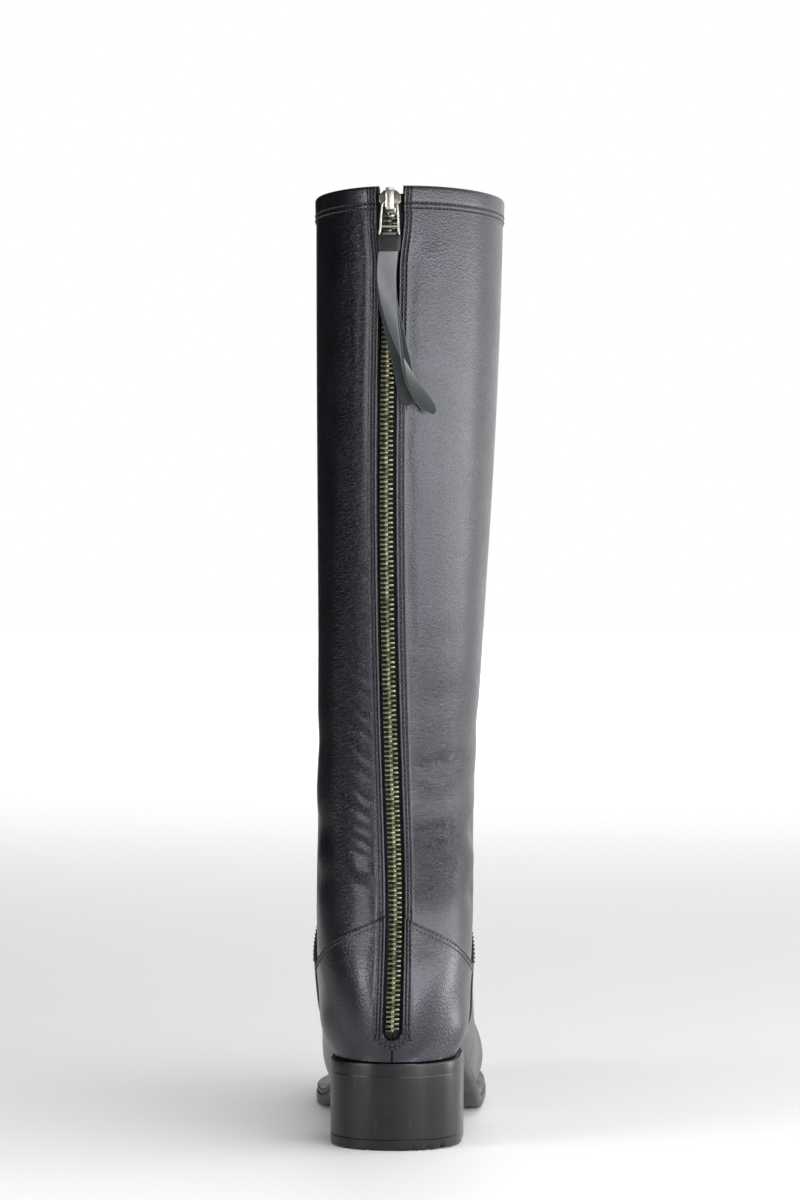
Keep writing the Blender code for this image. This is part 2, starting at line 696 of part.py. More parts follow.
def make_collar_band(finish, collection):
    """Band of leather folded over the top of the shaft."""
    lift = SKIN_GAP + BAND_THICK
    points = []
    for depth in (BAND_DEPTH, BAND_DEPTH / 2, 0.0):
        row = []
        for side, v in round_trip(AROUND):
            row.append(surface(below_collar(side, v, depth), side, v, lift))
        points.append(row)
    return sheet("collar_band", [points], BAND_THICK, finish, collection)


def plate_ring(share, edge, top, bottom, bevel):
    """Cross-section of a plate that follows an outline: a flat top, upright sides, eased lower edges."""
    y, medial, lateral = edge(share)
    x = foot_x(y)
    eased = bevel * min(1.0, (medial + lateral) / TIP_WIDTH)
    left, right = x - medial, x + lateral
    high, low = top(y), bottom(y)
    return [
        (left, y, high),
        (left, y, low + eased),
        (left + eased, y, low),
        (x, y, low),
        (right - eased, y, low),
        (right, y, low + eased),
        (right, y, high),
        (x, y, high),
    ]


def make_outsole(finish, collection):
    rings = [plate_ring(s, sole_edge, outsole_top, sole_bottom, OUTSOLE_BEVEL) for s in OUTSOLE_SHARES]
    return loft("outsole", rings, finish, collection)


def make_insole(finish, collection):
    """Board that closes the upper underneath, between its turned-in edges."""

    def base(y):
        return feather_z(y) + GAP

    def top(y):
        return base(y) + INSOLE_THICK

    rings = [plate_ring(s, insole_edge, top, base, INSOLE_BEVEL) for s in INSOLE_SHARES]
    return loft("insole", rings, finish, collection)


def welt_ring(share, side):
    """Cross-section of the welt on one side of the foot."""
    pick = 1 if side < 0 else 2
    outer, inner = sole_edge(share), last_edge(share)
    outer_y, inner_y = outer[0] - WELT_INSET * share, min(inner[0], WELT_TIP_Y)
    outer_x = foot_x(outer[0]) + side * max(outer[pick] - WELT_INSET, WELT_END_HALF)
    inner_x = foot_x(inner[0]) + side * max(inner[pick] - WELT_UNDER, WELT_END_HALF)
    ring = []
    for x, y, rises in ((outer_x, outer_y, (1, 0)), (inner_x, inner_y, (0, 1))):
        ring += [(x, y, outsole_top(y) + GAP + rise * welt_thick(y)) for rise in rises]
    return ring


def make_welt(finish, collection):
    """Strip round the forefoot between upper and outsole, from one side of the heel to the other."""
    shares = np.linspace(sole_share(WELT_START_Y), WELT_END_SHARE, WELT_RINGS)
    rings = [welt_ring(share, 1) for share in shares]
    rings += [welt_ring(share, -1) for share in reversed(shares)]
    return loft("welt", rings, finish, collection)


def heel_outline(z):
    """Footprint of the heel at height z: a broad round back, flat front, small front corners."""
    draw_in = 1 - z / SEAT_BOTTOM_Z
    back, front = HEEL_BACK_Y + HEEL_TAPER * draw_in, BREAST_Y - BREAST_TAPER * draw_in
    points = []
    for angle in np.linspace(0, math.pi, HEEL_STEPS):
        across = math.copysign(abs(math.cos(angle)) ** HEEL_ROUND, -math.cos(angle))
        points.append((HEEL_HALF_WIDTH * across, back + HEEL_CURVE * (1 - math.sin(angle) ** HEEL_ROUND), z))
    turns = np.linspace(0, math.pi / 2, CORNER_STEPS)
    for side in (1, -1):
        for turn in turns[::side]:
            x = side * (HEEL_HALF_WIDTH - HEEL_CORNER * (1 - math.cos(turn)))
            points.append((x, front - HEEL_CORNER * (1 - math.sin(turn)), z))
    return points


def make_heel_block(finish, collection):
    ends = (LIFT_THICK + GAP, SEAT_BOTTOM_Z - GAP)
    return loft("heel_block", [heel_outline(z) for z in ends], finish, collection)


def make_top_lift(finish, collection):
    return loft("top_lift", [heel_outline(z) for z in (0.0, LIFT_THICK)], finish, collection)


def strip(name, heights, across, depths, finish, collection):
    """A strip along the zip's line: across gives its side edges at each height, depths its two faces."""
    rings = []
    for z in heights:
        t = row_at(z)
        sides = np.linspace(*across(z), STRIP_COLUMNS)
        front = [skin(t, x, -depths[0]) for x in sides]
        back = [skin(t, x, -depths[1]) for x in sides]
        rings.append(front + back[::-1])
    return loft(name, rings, finish, collection)


def make_zip_tapes(finish, collection):
    """Two halves of woven tape behind the slot, parted round the slider's neck."""
    part_z = SLIDER_Z - TAPE_PART_LENGTH
    below = np.linspace(TAPE_FOOT_Z, part_z, TAPE_RINGS)
    heights = [*below, *np.linspace(part_z, SLIDER_Z, 3)[1:], TAPE_TOP_Z]

    def edge(z):
        return TAPE_EDGE + (TAPE_PARTED - TAPE_EDGE) * ease((z - part_z) / TAPE_PART_LENGTH)

    def inner(z):
        return -TAPE_HALF, -edge(z)

    def outer(z):
        return edge(z), TAPE_HALF

    strip("zip_tape_inner", heights, inner, TAPE_DEPTHS, finish, collection)
    strip("zip_tape_outer", heights, outer, TAPE_DEPTHS, finish, collection)


def make_zip_chain(finish, collection):
    heights = np.linspace(CHAIN_FOOT_Z, SLIDER_Z - GAP, CHAIN_RINGS)
    return strip("zip_chain", heights, lambda z: (-CHAIN_HALF, CHAIN_HALF), CHAIN_DEPTHS, finish, collection)


def join(base, pieces):
    """Fuses pieces into base and removes them."""
    for piece in pieces:
        fuse = base.modifiers.new(piece.name, "BOOLEAN")
        fuse.operation = "UNION"
        fuse.object = piece
    graph = bpy.context.evaluated_depsgraph_get()
    joined = bpy.data.meshes.new_from_object(base.evaluated_get(graph))
    base.modifiers.clear()
    base.data = joined
    for piece in pieces:
        bpy.data.objects.remove(piece)
    return base


# Plates of the slider: rise is from the slider's middle, out from the leather's face
Plate = namedtuple("Plate", "name rise width height thick out chamfer")
FRONT_PLATE = Plate("zip_slider", 0.6, 10.2, 7.2, 1.3, 0.0, 2.0)
BACK_PLATE = Plate("slider_back", 0.6, 9.0, 7.2, 1.0, -5.9, 2.0)
NECK = Plate("slider_neck", 1.8, 2.6, 3.6, 6.0, -5.4, 0.6)
TAIL_PLATE = Plate("slider_tail", -4.6, 3.7, 2.4, 1.3, 0.0, 0.3)

# Middle line of the slider's bridge, from its top end to its lower end
BridgeRow = namedtuple("BridgeRow", "rise out")
BRIDGE = (
    BridgeRow(4.6, 0.6),
    BridgeRow(5.1, 2.2),
    BridgeRow(4.2, 3.6),
    BridgeRow(0.0, 4.0),
    BridgeRow(-3.6, 3.8),
    BridgeRow(-4.6, 2.8),
    BridgeRow(-4.9, 0.8),
)
BRIDGE_HALF_WIDTH = 1.85
BRIDGE_HALF_THICK = 0.45


def plate(row, finish, collection):
    """An upright plate with cut corners on the zip's line."""
    wide, high, cut_off = row.width / 2, row.height / 2, row.chamfer
    quarter = [(wide, high - cut_off), (wide - cut_off, high)]
    right = [(x, -up) for x, up in reversed(quarter)] + quarter
    corners = right + [(-x, up) for x, up in reversed(right)]
    rings = []
    for out in (row.out, row.out + row.thick):
        rings.append([from_zip(SLIDER_MIDDLE_Z + row.rise, x, out, up) for x, up in corners])
    return loft(row.name, rings, finish, collection)


def make_bridge(finish, collection):
    """Arched strap on the slider's front that the pull swings in."""
    rings = []
    for i, row in enumerate(BRIDGE):
        ahead, behind = BRIDGE[min(i + 1, len(BRIDGE) - 1)], BRIDGE[max(i - 1, 0)]
        run = np.array([ahead.rise - behind.rise, ahead.out - behind.out])
        half = BRIDGE_HALF_THICK * run / np.linalg.norm(run)
        ring = []
        for x, sign in ((-1, 1), (1, 1), (1, -1), (-1, -1)):
            out, rise = row.out - sign * half[0], row.rise + sign * half[1]
            ring.append(from_zip(SLIDER_MIDDLE_Z, x * BRIDGE_HALF_WIDTH, out, rise))
        rings.append(ring)
    return loft("slider_bridge", rings, finish, collection)


def make_zip_slider(finish, collection):
    """Front plate with its bridge, back plate, and the neck that parts the two rows of teeth."""
    front = plate(FRONT_PLATE, finish, collection)
    others = [plate(row, finish, collection) for row in (TAIL_PLATE, NECK, BACK_PLATE)]
    return join(front, others + [make_bridge(finish, collection)])


def tube(name, points, radius, closed, finish, collection):
    """A round wire through points, as a mesh."""
    curve = bpy.data.curves.new(name, "CURVE")
    curve.dimensions = "3D"
    curve.bevel_depth = radius * MM
    curve.bevel_resolution = 2
    curve.use_fill_caps = True
    spline = curve.splines.new("POLY")
    spline.points.add(len(points) - 1)
    for point, spot in zip(spline.points, to_row(points)):
        point.co = (*spot, 1.0)
    spline.use_cyclic_u = closed
    guide = bpy.data.objects.new(name + "_guide", curve)
    collection.objects.link(guide)
    graph = bpy.context.evaluated_depsgraph_get()
    mesh = bpy.data.meshes.new_from_object(guide.evaluated_get(graph))
    shape = bmesh.new()
    shape.from_mesh(mesh)
    bmesh.ops.remove_doubles(shape, verts=shape.verts, dist=WIRE_JOIN_WITHIN * MM)
    bmesh.ops.recalc_face_normals(shape, faces=shape.faces)
    shape.to_mesh(mesh)
    shape.free()
    bpy.data.objects.remove(guide)
    return new_object(name, mesh, finish, collection)


def hang(x, drop, out):
    """A point that hangs from the pull's pivot: x sideways, drop below it, out from the leather there."""
    return from_zip(PIVOT_Z - drop, x, out)


def make_pull_loop(finish, collection):
    """Bent wire frame that swings in the slider's bridge, with a crossbar above the strap."""
    right = [hang(row.half_width, row.drop, PIVOT_OUT + row.out) for row in LOOP]
    left = [hang(-row.half_width, row.drop, PIVOT_OUT + row.out) for row in reversed(LOOP)]
    frame = tube("pull_loop", right + left, WIRE_RADIUS, True, finish, collection)
    bar = next(row for row in LOOP if row.drop == CROSSBAR_DROP)
    ends = [hang(x, bar.drop, PIVOT_OUT + bar.out) for x in (-bar.half_width, bar.half_width)]
    return join(frame, [tube("crossbar", ends, CROSSBAR_RADIUS, False, finish, collection)])


def strap_width(drop):
    """Narrow inside the loop, full width where it leaves the keeper."""
    return STRAP_NECK + (STRAP_WIDTH - STRAP_NECK) * ease((drop - STRAP_FLARE_DROP) / STRAP_FLARE)


def strap_ring(row):
    """Cross-section of the strap at one row of a tail."""
    turn = math.radians(row.turn)
    ring = []
    for a, b in ((-1, -1), (1, -1), (1, 1), (-1, 1)):
        wide, thick = a * strap_width(row.drop) / 2, b * STRAP_THICK / 2
        x = row.x + math.cos(turn) * wide - math.sin(turn) * thick
        out = row.out + math.sin(turn) * wide + math.cos(turn) * thick
        ring.append(hang(x, LOOP[-1].drop + row.drop, out))
    return ring


def tail_curve(rows):
    """Rows at even steps along a tail, from its table."""
    smooth = natural_spline([r.drop for r in rows], [(r.x, r.out, r.turn) for r in rows])
    return [TailRow(d, *smooth(d)) for d in np.linspace(0.0, rows[-1].drop, STRAP_STEPS)]


def make_pull_strap(finish, collection):
    """One strip of leather over the loop's lower bar, with a tail on each side of it."""
    outer, inner = tail_curve(OUTER_TAIL), tail_curve(INNER_TAIL)
    middle = (outer[0].out + inner[0].out) / 2
    reach = outer[0].out - middle
    rings = [strap_ring(row) for row in reversed(outer)]
    for angle in BEND_ANGLES:
        turn = math.radians(angle)
        ring = []
        for a, b in ((-1, -1), (1, -1), (1, 1), (-1, 1)):
            from_bar = reach + b * STRAP_THICK / 2
            drop = LOOP[-1].drop - math.sin(turn) * from_bar
            ring.append(hang(a * STRAP_NECK / 2, drop, middle + math.cos(turn) * from_bar))
        rings.append(ring)
    rings += [strap_ring(row)[::-1] for row in inner]
    return loft("pull_strap", rings, finish, collection)


def make_pull_keeper(finish, collection):
    """Short band round both tails that holds the strap on the loop."""
    top = LOOP[-1].drop - KEEPER_ABOVE_BAR
    half = LOOP[-1].half_width + WIRE_RADIUS + GAP
    near = INNER_TAIL[0].out - STRAP_THICK / 2 - GAP
    far = OUTER_TAIL[0].out + STRAP_THICK / 2 + SKIN_GAP
    rings = []
    for drop, wall in ((top, 0), (top + KEEPER_HEIGHT, 0), (top + KEEPER_HEIGHT, 1), (top, 1)):
        x = half + wall * KEEPER_WALL
        low, high = near - wall * KEEPER_BACK, far + wall * KEEPER_WALL
        corners = ((-x, low), (x, low), (x, high), (-x, high))
        rings.append([hang(aside, drop, out) for aside, out in corners])
    return loft("pull_keeper", rings, finish, collection, closed=True)


def main():
    for old in list(bpy.data.objects):
        bpy.data.objects.remove(old)
    boot = bpy.data.collections.new("knee_boot")
    bpy.context.scene.collection.children.link(boot)
    leather = material("black_leather", (0.018, 0.018, 0.022), 0.38)
    sole_black = material("black_sole_edge", (0.02, 0.02, 0.022), 0.45)
    heel_black = material("black_heel", (0.016, 0.016, 0.018), 0.35)
    rubber = material("black_rubber", (0.012, 0.012, 0.012), 0.7)
    board = material("insole_leather", (0.09, 0.075, 0.06), 0.7)
    tape = material("black_tape", (0.01, 0.01, 0.01), 0.85)
    brass = material("antique_brass", (0.36, 0.33, 0.16), 0.35, 1.0)
    nickel = material("nickel", (0.62, 0.6, 0.52), 0.3, 1.0)
    strap = material("strap_leather", (0.02, 0.024, 0.024), 0.5)
    make_outsole(sole_black, boot)
    make_welt(sole_black, boot)
    make_heel_block(heel_black, boot)
    make_top_lift(rubber, boot)
    make_insole(board, boot)
    make_upper(leather, boot)
    make_vamp(leather, boot)
    make_counter(leather, boot)
    make_collar_band(leather, boot)
    make_zip_tapes(tape, boot)
    make_zip_chain(brass, boot)
    make_zip_slider(nickel, boot)
    make_pull_loop(nickel, boot)
    make_pull_strap(strap, boot)
    make_pull_keeper(strap, boot)


main()
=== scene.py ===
"""Looks of a tall black leather boot: leather with its creases, seams, zip, sole and a pale studio.

Tables are millimetres in the shoemaker's frame, where y counts forward from the back of the heel and x to
the outer side of the right foot. to_row turns them into the part's frame in metres.
"""

import math
from collections import namedtuple

import bmesh
import bpy
import numpy as np
from mathutils import Matrix


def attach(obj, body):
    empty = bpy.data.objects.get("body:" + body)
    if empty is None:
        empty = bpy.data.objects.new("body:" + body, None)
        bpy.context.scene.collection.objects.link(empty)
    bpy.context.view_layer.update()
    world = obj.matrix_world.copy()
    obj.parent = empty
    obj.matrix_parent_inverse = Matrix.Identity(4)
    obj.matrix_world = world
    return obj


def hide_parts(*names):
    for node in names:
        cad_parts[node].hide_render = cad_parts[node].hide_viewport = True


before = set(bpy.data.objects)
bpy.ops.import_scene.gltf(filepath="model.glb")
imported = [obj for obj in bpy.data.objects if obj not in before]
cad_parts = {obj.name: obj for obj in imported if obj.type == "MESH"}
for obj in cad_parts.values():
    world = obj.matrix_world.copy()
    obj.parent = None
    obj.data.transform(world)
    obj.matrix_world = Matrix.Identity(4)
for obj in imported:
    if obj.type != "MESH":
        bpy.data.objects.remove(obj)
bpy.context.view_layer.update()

# Sizes that the solids share
MM = 0.001
GAP = 0.3
FEATHER_GAP = 0.6
HEEL_CENTRE_Y = 31.0
HEEL_SEAT_Z = 40.6
COLLAR_Z = 440.0
TREAD_START_Y = 156.0
TREAD_END_Y = 206.0
BREAST_Y = 60.0
ARCH_START_Y = 56.0
SOLE_TIP_Y = 270.5
TOE_SPRING = 8.5
OUTSOLE_THICK = 5.7
WELT_THICK = 3.0
WELT_START_Y = 66.0
WELT_SKIVE = 32.0
WELT_THIN = 0.9
WELT_STEP_Y = 55.5
WELT_STEP = 5.0
WELT_INSET = 0.5
WELT_UNDER = 4.0
WELT_TIP_Y = 258.0
SEAT_BOTTOM_Z = HEEL_SEAT_Z - FEATHER_GAP - OUTSOLE_THICK
HEEL_HALF_WIDTH = 30.4
HEEL_BACK_Y = 1.0
LIFT_THICK = 5.0
HEEL_TAPER = 1.6
BREAST_TAPER = 2.5
HEEL_CURVE = 32.0
HEEL_ROUND = 0.86
HEEL_CORNER = 4.0
SLOT_HALF = 4.0
SLOT_TOP_HALF = 5.9
SLOT_FOOT_Z = 51.0
SLOT_FLARE_Z = 403.0
SLOT_FLARE = 24.0
SLIDER_Z = 429.0
SLIDER_MIDDLE_Z = 434.0
PIVOT_Z = 432.6
PIVOT_OUT = 2.5
WIRE_RADIUS = 0.55
STRAP_WIDTH = 8.8
STRAP_NECK = 6.2
STRAP_THICK = 1.5
STRAP_FLARE_DROP = 1.6
STRAP_FLARE = 4.6
KEEPER_HEIGHT = 7.6
KEEPER_ABOVE_BAR = 1.2

# The form of the last, section by section
Section = namedtuple("Section", "back_y back_z front_y front_z low_x top_x medial lateral belly peak")
SECTIONS = (
    Section(236.0, None, 262.6, 17.2, -2.1, -3.3, 26.4, 23.6, 0.20, 2.0),
    Section(235.4, None, 265.0, 25.0, -2.1, -3.6, 28.1, 25.3, 0.30, 2.1),
    Section(234.6, None, 259.0, 35.8, -2.0, -4.2, 30.3, 27.3, 0.36, 2.2),
    Section(232.0, None, 241.5, 43.0, -1.9, -5.0, 32.6, 29.8, 0.33, 2.2),
    Section(209.0, None, 215.0, 52.5, -2.0, -6.4, 38.2, 34.0, 0.28, 2.1),
    Section(180.0, None, 185.5, 64.5, -2.5, -7.2, 40.2, 35.2, 0.25, 2.0),
    Section(150.0, None, 159.0, 80.5, -3.5, -7.0, 38.2, 35.4, 0.27, 1.9),
    Section(120.0, None, 138.0, 101.0, -4.1, -6.4, 36.0, 35.4, 0.31, 1.9),
    Section(91.0, None, 125.0, 123.5, -3.7, -5.8, 36.8, 35.4, 0.36, 1.9),
    Section(61.0, None, 119.3, 147.0, -2.0, -5.4, 37.8, 35.8, 0.42, 1.9),
    Section(27.5, None, 117.8, 169.5, -0.3, -4.6, 37.6, 36.2, 0.46, 1.9),
    Section(3.0, None, 117.8, 190.0, 0.0, -4.1, 37.2, 36.8, 0.48, 1.95),
    Section(0.8, 66.0, 118.6, 209.0, -0.3, -3.8, 36.9, 36.9, 0.49, 2.0),
    Section(6.6, 108.0, 120.2, 234.0, -0.6, -2.8, 37.3, 37.3, 0.50, 2.0),
    Section(10.4, 152.0, 122.4, 260.0, -0.6, -1.2, 38.2, 38.2, 0.50, 2.0),
    Section(8.8, 206.0, 125.6, 299.0, 0.6, 0.6, 39.6, 39.6, 0.50, 2.0),
    Section(2.6, 280.0, 129.8, 350.0, 2.4, 2.4, 41.7, 41.7, 0.50, 2.0),
    Section(-3.4, 360.0, 133.6, 398.0, 3.8, 3.8, 43.3, 43.3, 0.50, 2.0),
    Section(-6.0, 440.0, 136.0, 440.0, 4.6, 4.6, 44.2, 44.2, 0.50, 2.0),
)
BREAST_ROW = 9.0
HEEL_ROW = 11.0
VAMP_FRONT_ROW = 8.2
COLLAR_ROW = float(len(SECTIONS) - 1)
CORNER_Z = 77.0
SEAM_Z = 108.0
SEAM_SLANT = 1.2
STEEPEST = 0.97
EdgeRow = namedtuple("EdgeRow", "z row")
VAMP_EDGE = (
    EdgeRow(40.0, BREAST_ROW),
    EdgeRow(44.0, 8.88),
    EdgeRow(50.0, 8.74),
    EdgeRow(62.0, 8.72),
    EdgeRow(CORNER_Z, 8.88),
)

Width = namedtuple("Width", "y medial lateral")
LAST_EDGE = (
    Width(3.0, 0.0, 0.0),
    Width(30.0, 27.0, 27.0),
    Width(61.0, 24.8, 27.0),
    Width(91.0, 21.8, 28.4),
    Width(120.0, 24.6, 31.0),
    Width(150.0, 31.8, 32.8),
    Width(180.0, 36.4, 31.6),
    Width(209.0, 33.8, 29.2),
    Width(236.0, 26.2, 23.4),
    Width(252.0, 17.6, 15.8),
    Width(262.6, 0.0, 0.0),
)
SOLE_EDGE = (
    Width(0.6, 0.0, 0.0),
    Width(30.0, 30.4, 30.4),
    Width(61.0, 28.4, 31.2),
    Width(91.0, 26.8, 34.2),
    Width(120.0, 31.2, 37.8),
    Width(150.0, 41.6, 38.6),
    Width(178.0, 47.0, 38.0),
    Width(208.0, 44.6, 36.6),
    Width(235.0, 36.4, 31.4),
    Width(252.0, 26.6, 23.4),
    Width(264.0, 17.6, 16.0),
    Width(SOLE_TIP_Y, 0.0, 0.0),
)
FootLine = namedtuple("FootLine", "y x")
FOOT_LINE = (
    FootLine(0.0, 0.0),
    FootLine(30.0, 0.0),
    FootLine(61.0, -2.0),
    FootLine(91.0, -3.7),
    FootLine(120.0, -4.1),
    FootLine(150.0, -3.5),
    FootLine(180.0, -2.6),
    FootLine(220.0, -2.5),
    FootLine(SOLE_TIP_Y, -3.4),
)
ZipLine = namedtuple("ZipLine", "z x")
ZIP_LINE = (
    ZipLine(40.0, 0.0),
    ZipLine(75.0, 0.9),
    ZipLine(110.0, 1.3),
    ZipLine(150.0, 0.2),
    ZipLine(210.0, -1.6),
    ZipLine(260.0, -2.3),
    ZipLine(330.0, -2.1),
    ZipLine(390.0, -0.8),
    ZipLine(442.0, 0.0),
)
TailRow = namedtuple("TailRow", "drop x out turn")
OUTER_TAIL = (
    TailRow(0.0, 0.0, 5.1, 0.0),
    TailRow(5.0, -0.1, 5.1, 0.0),
    TailRow(10.0, -0.6, 5.2, 1.0),
    TailRow(22.0, -0.5, 5.9, 20.0),
    TailRow(38.0, 2.4, 7.5, 50.0),
    TailRow(52.0, 6.4, 8.3, 80.0),
    TailRow(62.0, 10.2, 8.2, 112.0),
    TailRow(71.0, 15.2, 7.1, 142.0),
    TailRow(80.0, 21.2, 5.2, 160.0),
)
INNER_TAIL = (
    TailRow(0.0, 0.0, 1.9, 0.0),
    TailRow(5.0, -0.1, 1.9, 0.0),
    TailRow(10.0, -0.6, 1.9, 0.0),
    TailRow(22.0, -1.2, 2.1, -2.0),
    TailRow(38.0, 1.8, 2.2, 2.0),
    TailRow(52.0, 5.4, 2.3, 4.0),
    TailRow(64.0, 8.2, 2.3, 4.0),
    TailRow(76.0, 10.4, 2.2, 4.0),
)
LoopRow = namedtuple("LoopRow", "drop half_width out")
LOOP = (
    LoopRow(0.0, 2.7, 0.0),
    LoopRow(1.5, 3.5, 0.1),
    LoopRow(5.0, 3.8, 0.3),
    LoopRow(11.0, 4.1, 0.7),
    LoopRow(16.0, 4.0, 1.0),
)
CROSSBAR = LOOP[3]

# Leather pieces
WALL = 1.9
COUNTER_LIFT = 0.85
VAMP_LIFT = 1.75
HEEL_SWELL = 2.0
BACK_SEAM_TOP = 46.0
SKIN_START = 0.02
TOE_SKIN_START = 0.05
TOE_END_ROW = 3.5
SKIN_FADE = 8
EDGE_TRIES = 8
HALVINGS = 40
EDGE_SHADE_WIDE = 1.0  # width of the painted shade along the vamp's upright back edge
COUNTER_UNDER = 0.08  # sections that the counter reaches under the vamp
INNER_EVERY = 4  # the lining's side has one column for so many outside

# The leather folded in along the zip, by its distance from the slot's edge
FOLD_ROLL, FOLD_DEEP = 0.45, 1.2
RIDGE_AT, RIDGE_WIDE, RIDGE_HIGH = 0.95, 0.7, 0.5
ZIP_STITCHES = (1.95, 3.5)
GROOVE_WIDE, GROOVE_DEEP, GROOVE_SHADE = 0.42, 0.42, 0.9
SHADE_WIDE = 0.5  # of the rolled edge
RELIEF_BELOW, RELIEF_RUN = 1.0, 6.0  # how it runs out at the zip's foot
PLACKET_END, PLACKET_HIGH, PLACKET_FADE = 4.3, 0.35, 1.2
SLOT_ARC_Z = SLOT_FOOT_Z + SLOT_HALF  # the slot's foot is a half circle round here

# Soft folds and dents, placed by height and by the distance round the leg from the zip's edge. A crease
# runs from near to far, rising on the way, and is a trough where deep is positive.
Crease = namedtuple("Crease", "side z near far rise wide deep")
CREASES = (
    Crease(1, 176.0, 6.0, 58.0, 3.0, 3.2, 0.75),
    Crease(1, 166.0, 10.0, 50.0, 1.0, 4.5, -0.55),
    Crease(1, 145.5, 5.0, 62.0, 2.0, 2.6, 0.80),
    Crease(1, 141.0, 5.0, 34.0, -1.0, 1.5, 0.42),
    Crease(1, 137.0, 6.0, 28.0, 1.5, 1.3, 0.36),
    Crease(1, 131.0, 8.0, 42.0, 5.0, 4.0, -0.60),
    Crease(1, 120.0, 8.0, 30.0, 4.0, 2.2, 0.45),
    Crease(1, 114.5, 10.0, 26.0, -3.0, 1.4, 0.35),
    Crease(1, 205.0, 8.0, 70.0, 8.0, 6.0, 0.35),
    Crease(1, 232.0, 4.0, 60.0, 6.0, 7.0, 0.25),
    Crease(-1, 214.0, 4.0, 26.0, 12.0, 2.2, 0.18),
    Crease(-1, 206.0, 4.0, 30.0, 14.0, 1.8, 0.19),
    Crease(-1, 196.0, 4.0, 26.0, 13.0, 1.8, 0.20),
    Crease(-1, 187.0, 4.0, 30.0, 15.0, 2.0, 0.23),
    Crease(-1, 177.0, 4.0, 28.0, 14.0, 1.8, 0.24),
    Crease(-1, 168.0, 4.0, 32.0, 16.0, 2.2, 0.24),
    Crease(-1, 158.0, 4.0, 30.0, 15.0, 1.8, 0.27),
    Crease(-1, 149.0, 4.0, 34.0, 17.0, 2.0, 0.30),
    Crease(-1, 143.0, 4.0, 24.0, 9.0, 1.4, 0.25),
    Crease(-1, 136.0, 4.0, 30.0, 13.0, 1.6, 0.33),
    Crease(-1, 131.0, 5.0, 20.0, 7.0, 1.2, 0.24),
    Crease(-1, 124.5, 4.0, 26.0, 9.0, 4.2, -0.70),
    Crease(-1, 116.0, 4.0, 30.0, 10.0, 2.4, 0.27),
    Crease(-1, 240.0, 4.0, 24.0, 9.0, 2.4, 0.13),
    Crease(-1, 262.0, 4.0, 22.0, 8.0, 2.6, 0.12),
)
# Dents in the outline of the ankle: from one distance to another round the leg
Wave = namedtuple("Wave", "side z near far high deep")
WAVES = (
    Wave(1, 194.0, 30.0, 110.0, 9.0, 0.7),
    Wave(1, 168.0, 30.0, 110.0, 8.0, 0.5),
    Wave(1, 145.0, 26.0, 110.0, 8.0, 1.5),
    Wave(1, 131.0, 30.0, 110.0, 6.0, -0.5),
    Wave(1, 116.0, 28.0, 100.0, 7.0, 0.9),
    Wave(-1, 186.0, 30.0, 110.0, 9.0, 0.6),
    Wave(-1, 162.0, 30.0, 110.0, 9.0, -0.4),
    Wave(-1, 144.0, 28.0, 110.0, 8.0, 0.9),
    Wave(-1, 121.0, 28.0, 100.0, 7.0, 0.7),
)
# Long shallow folds that run up the shaft beside the zip: a trough where deep is positive
Streak = namedtuple("Streak", "side away lean wide deep low high")
STREAKS = (
    Streak(1, 7.0, 0.0, 2.4, 0.30, 205.0, 418.0),
    Streak(1, 13.5, 0.01, 4.5, -0.25, 215.0, 420.0),
    Streak(-1, 7.5, 0.0, 1.8, -0.10, 300.0, 432.0),
    Streak(-1, 11.0, -0.012, 1.6, 0.14, 330.0, 432.0),
    Streak(-1, 14.5, 0.02, 2.0, -0.12, 350.0, 430.0),
    Streak(-1, 19.0, -0.02, 2.0, 0.12, 290.0, 400.0),
)
# Painted shade on the leg's outer side round the ankle, as gloss taken away: how strong, at what height and
# how tall
ANKLE_PAINTED_SHADE = 0.45
ANKLE_Z, ANKLE_HIGH = 128.0, 24.0
# Where fine wrinkles show: a patch on one side, its middle, its size and how strong they are
Patch = namedtuple("Patch", "side z away high wide strength")
WRINKLES = (
    Patch(-1, 185.0, 12.0, 62.0, 17.0, 1.0),
    Patch(-1, 145.0, 14.0, 28.0, 17.0, 1.0),
    Patch(-1, 260.0, 10.0, 40.0, 12.0, 0.5),
    Patch(1, 175.0, 26.0, 12.0, 26.0, 0.55),
    Patch(1, 142.0, 22.0, 11.0, 26.0, 0.9),
    Patch(1, 118.0, 20.0, 8.0, 22.0, 0.55),
    Patch(1, 205.0, 30.0, 30.0, 34.0, 0.25),
    Patch(1, 290.0, 26.0, 160.0, 40.0, 0.05),
    Patch(-1, 330.0, 14.0, 150.0, 14.0, 0.6),
)
WRINKLES_START, WRINKLES_FADE = 4.5, 2.0  # distance from the zip

# Stitches
STITCH_PITCH = 2.2
STITCH_LENGTH = 0.36  # half of it, as a share of the pitch
THREAD = 0.36
THREAD_SIDES = 6
STITCH_LOOK = 0.4  # its direction is taken so far ahead and behind
COLLAR_STITCHES = (7.2, 9.5)
SEAM_STITCHES = (1.1, 3.0)
EDGE_STITCHES = (1.6, 3.4)

# Zip
TOOTH_PITCH = 2.2
TOOTH_FOOT_Z = 55.0
TOOTH_REACH = 3.0
TOOTH_OVER = 0.62
TOOTH_HIGH = 1.0
TOOTH_FRONT, TOOTH_BACK = -0.3, -1.9
TOOTH_BEVEL = 0.22
TOOTH_HEAD, HEAD_AT, HEAD_WIDE = 0.28, 0.12, 0.16
TOOTH_WAIST, WAIST_AT, WAIST_WIDE = 0.22, 0.42, 0.2
TOOTH_TAPER = 0.12
TEETH_STOP = 0.8  # so far below the slider

# Camera, worked out from the photo
CAMERA_Z = 252.0
CAMERA_DISTANCE = 1731.0
CAMERA_AZIMUTH = 3.7
CAMERA_FOV = 18.3
CAMERA_AIM_X = 2.0

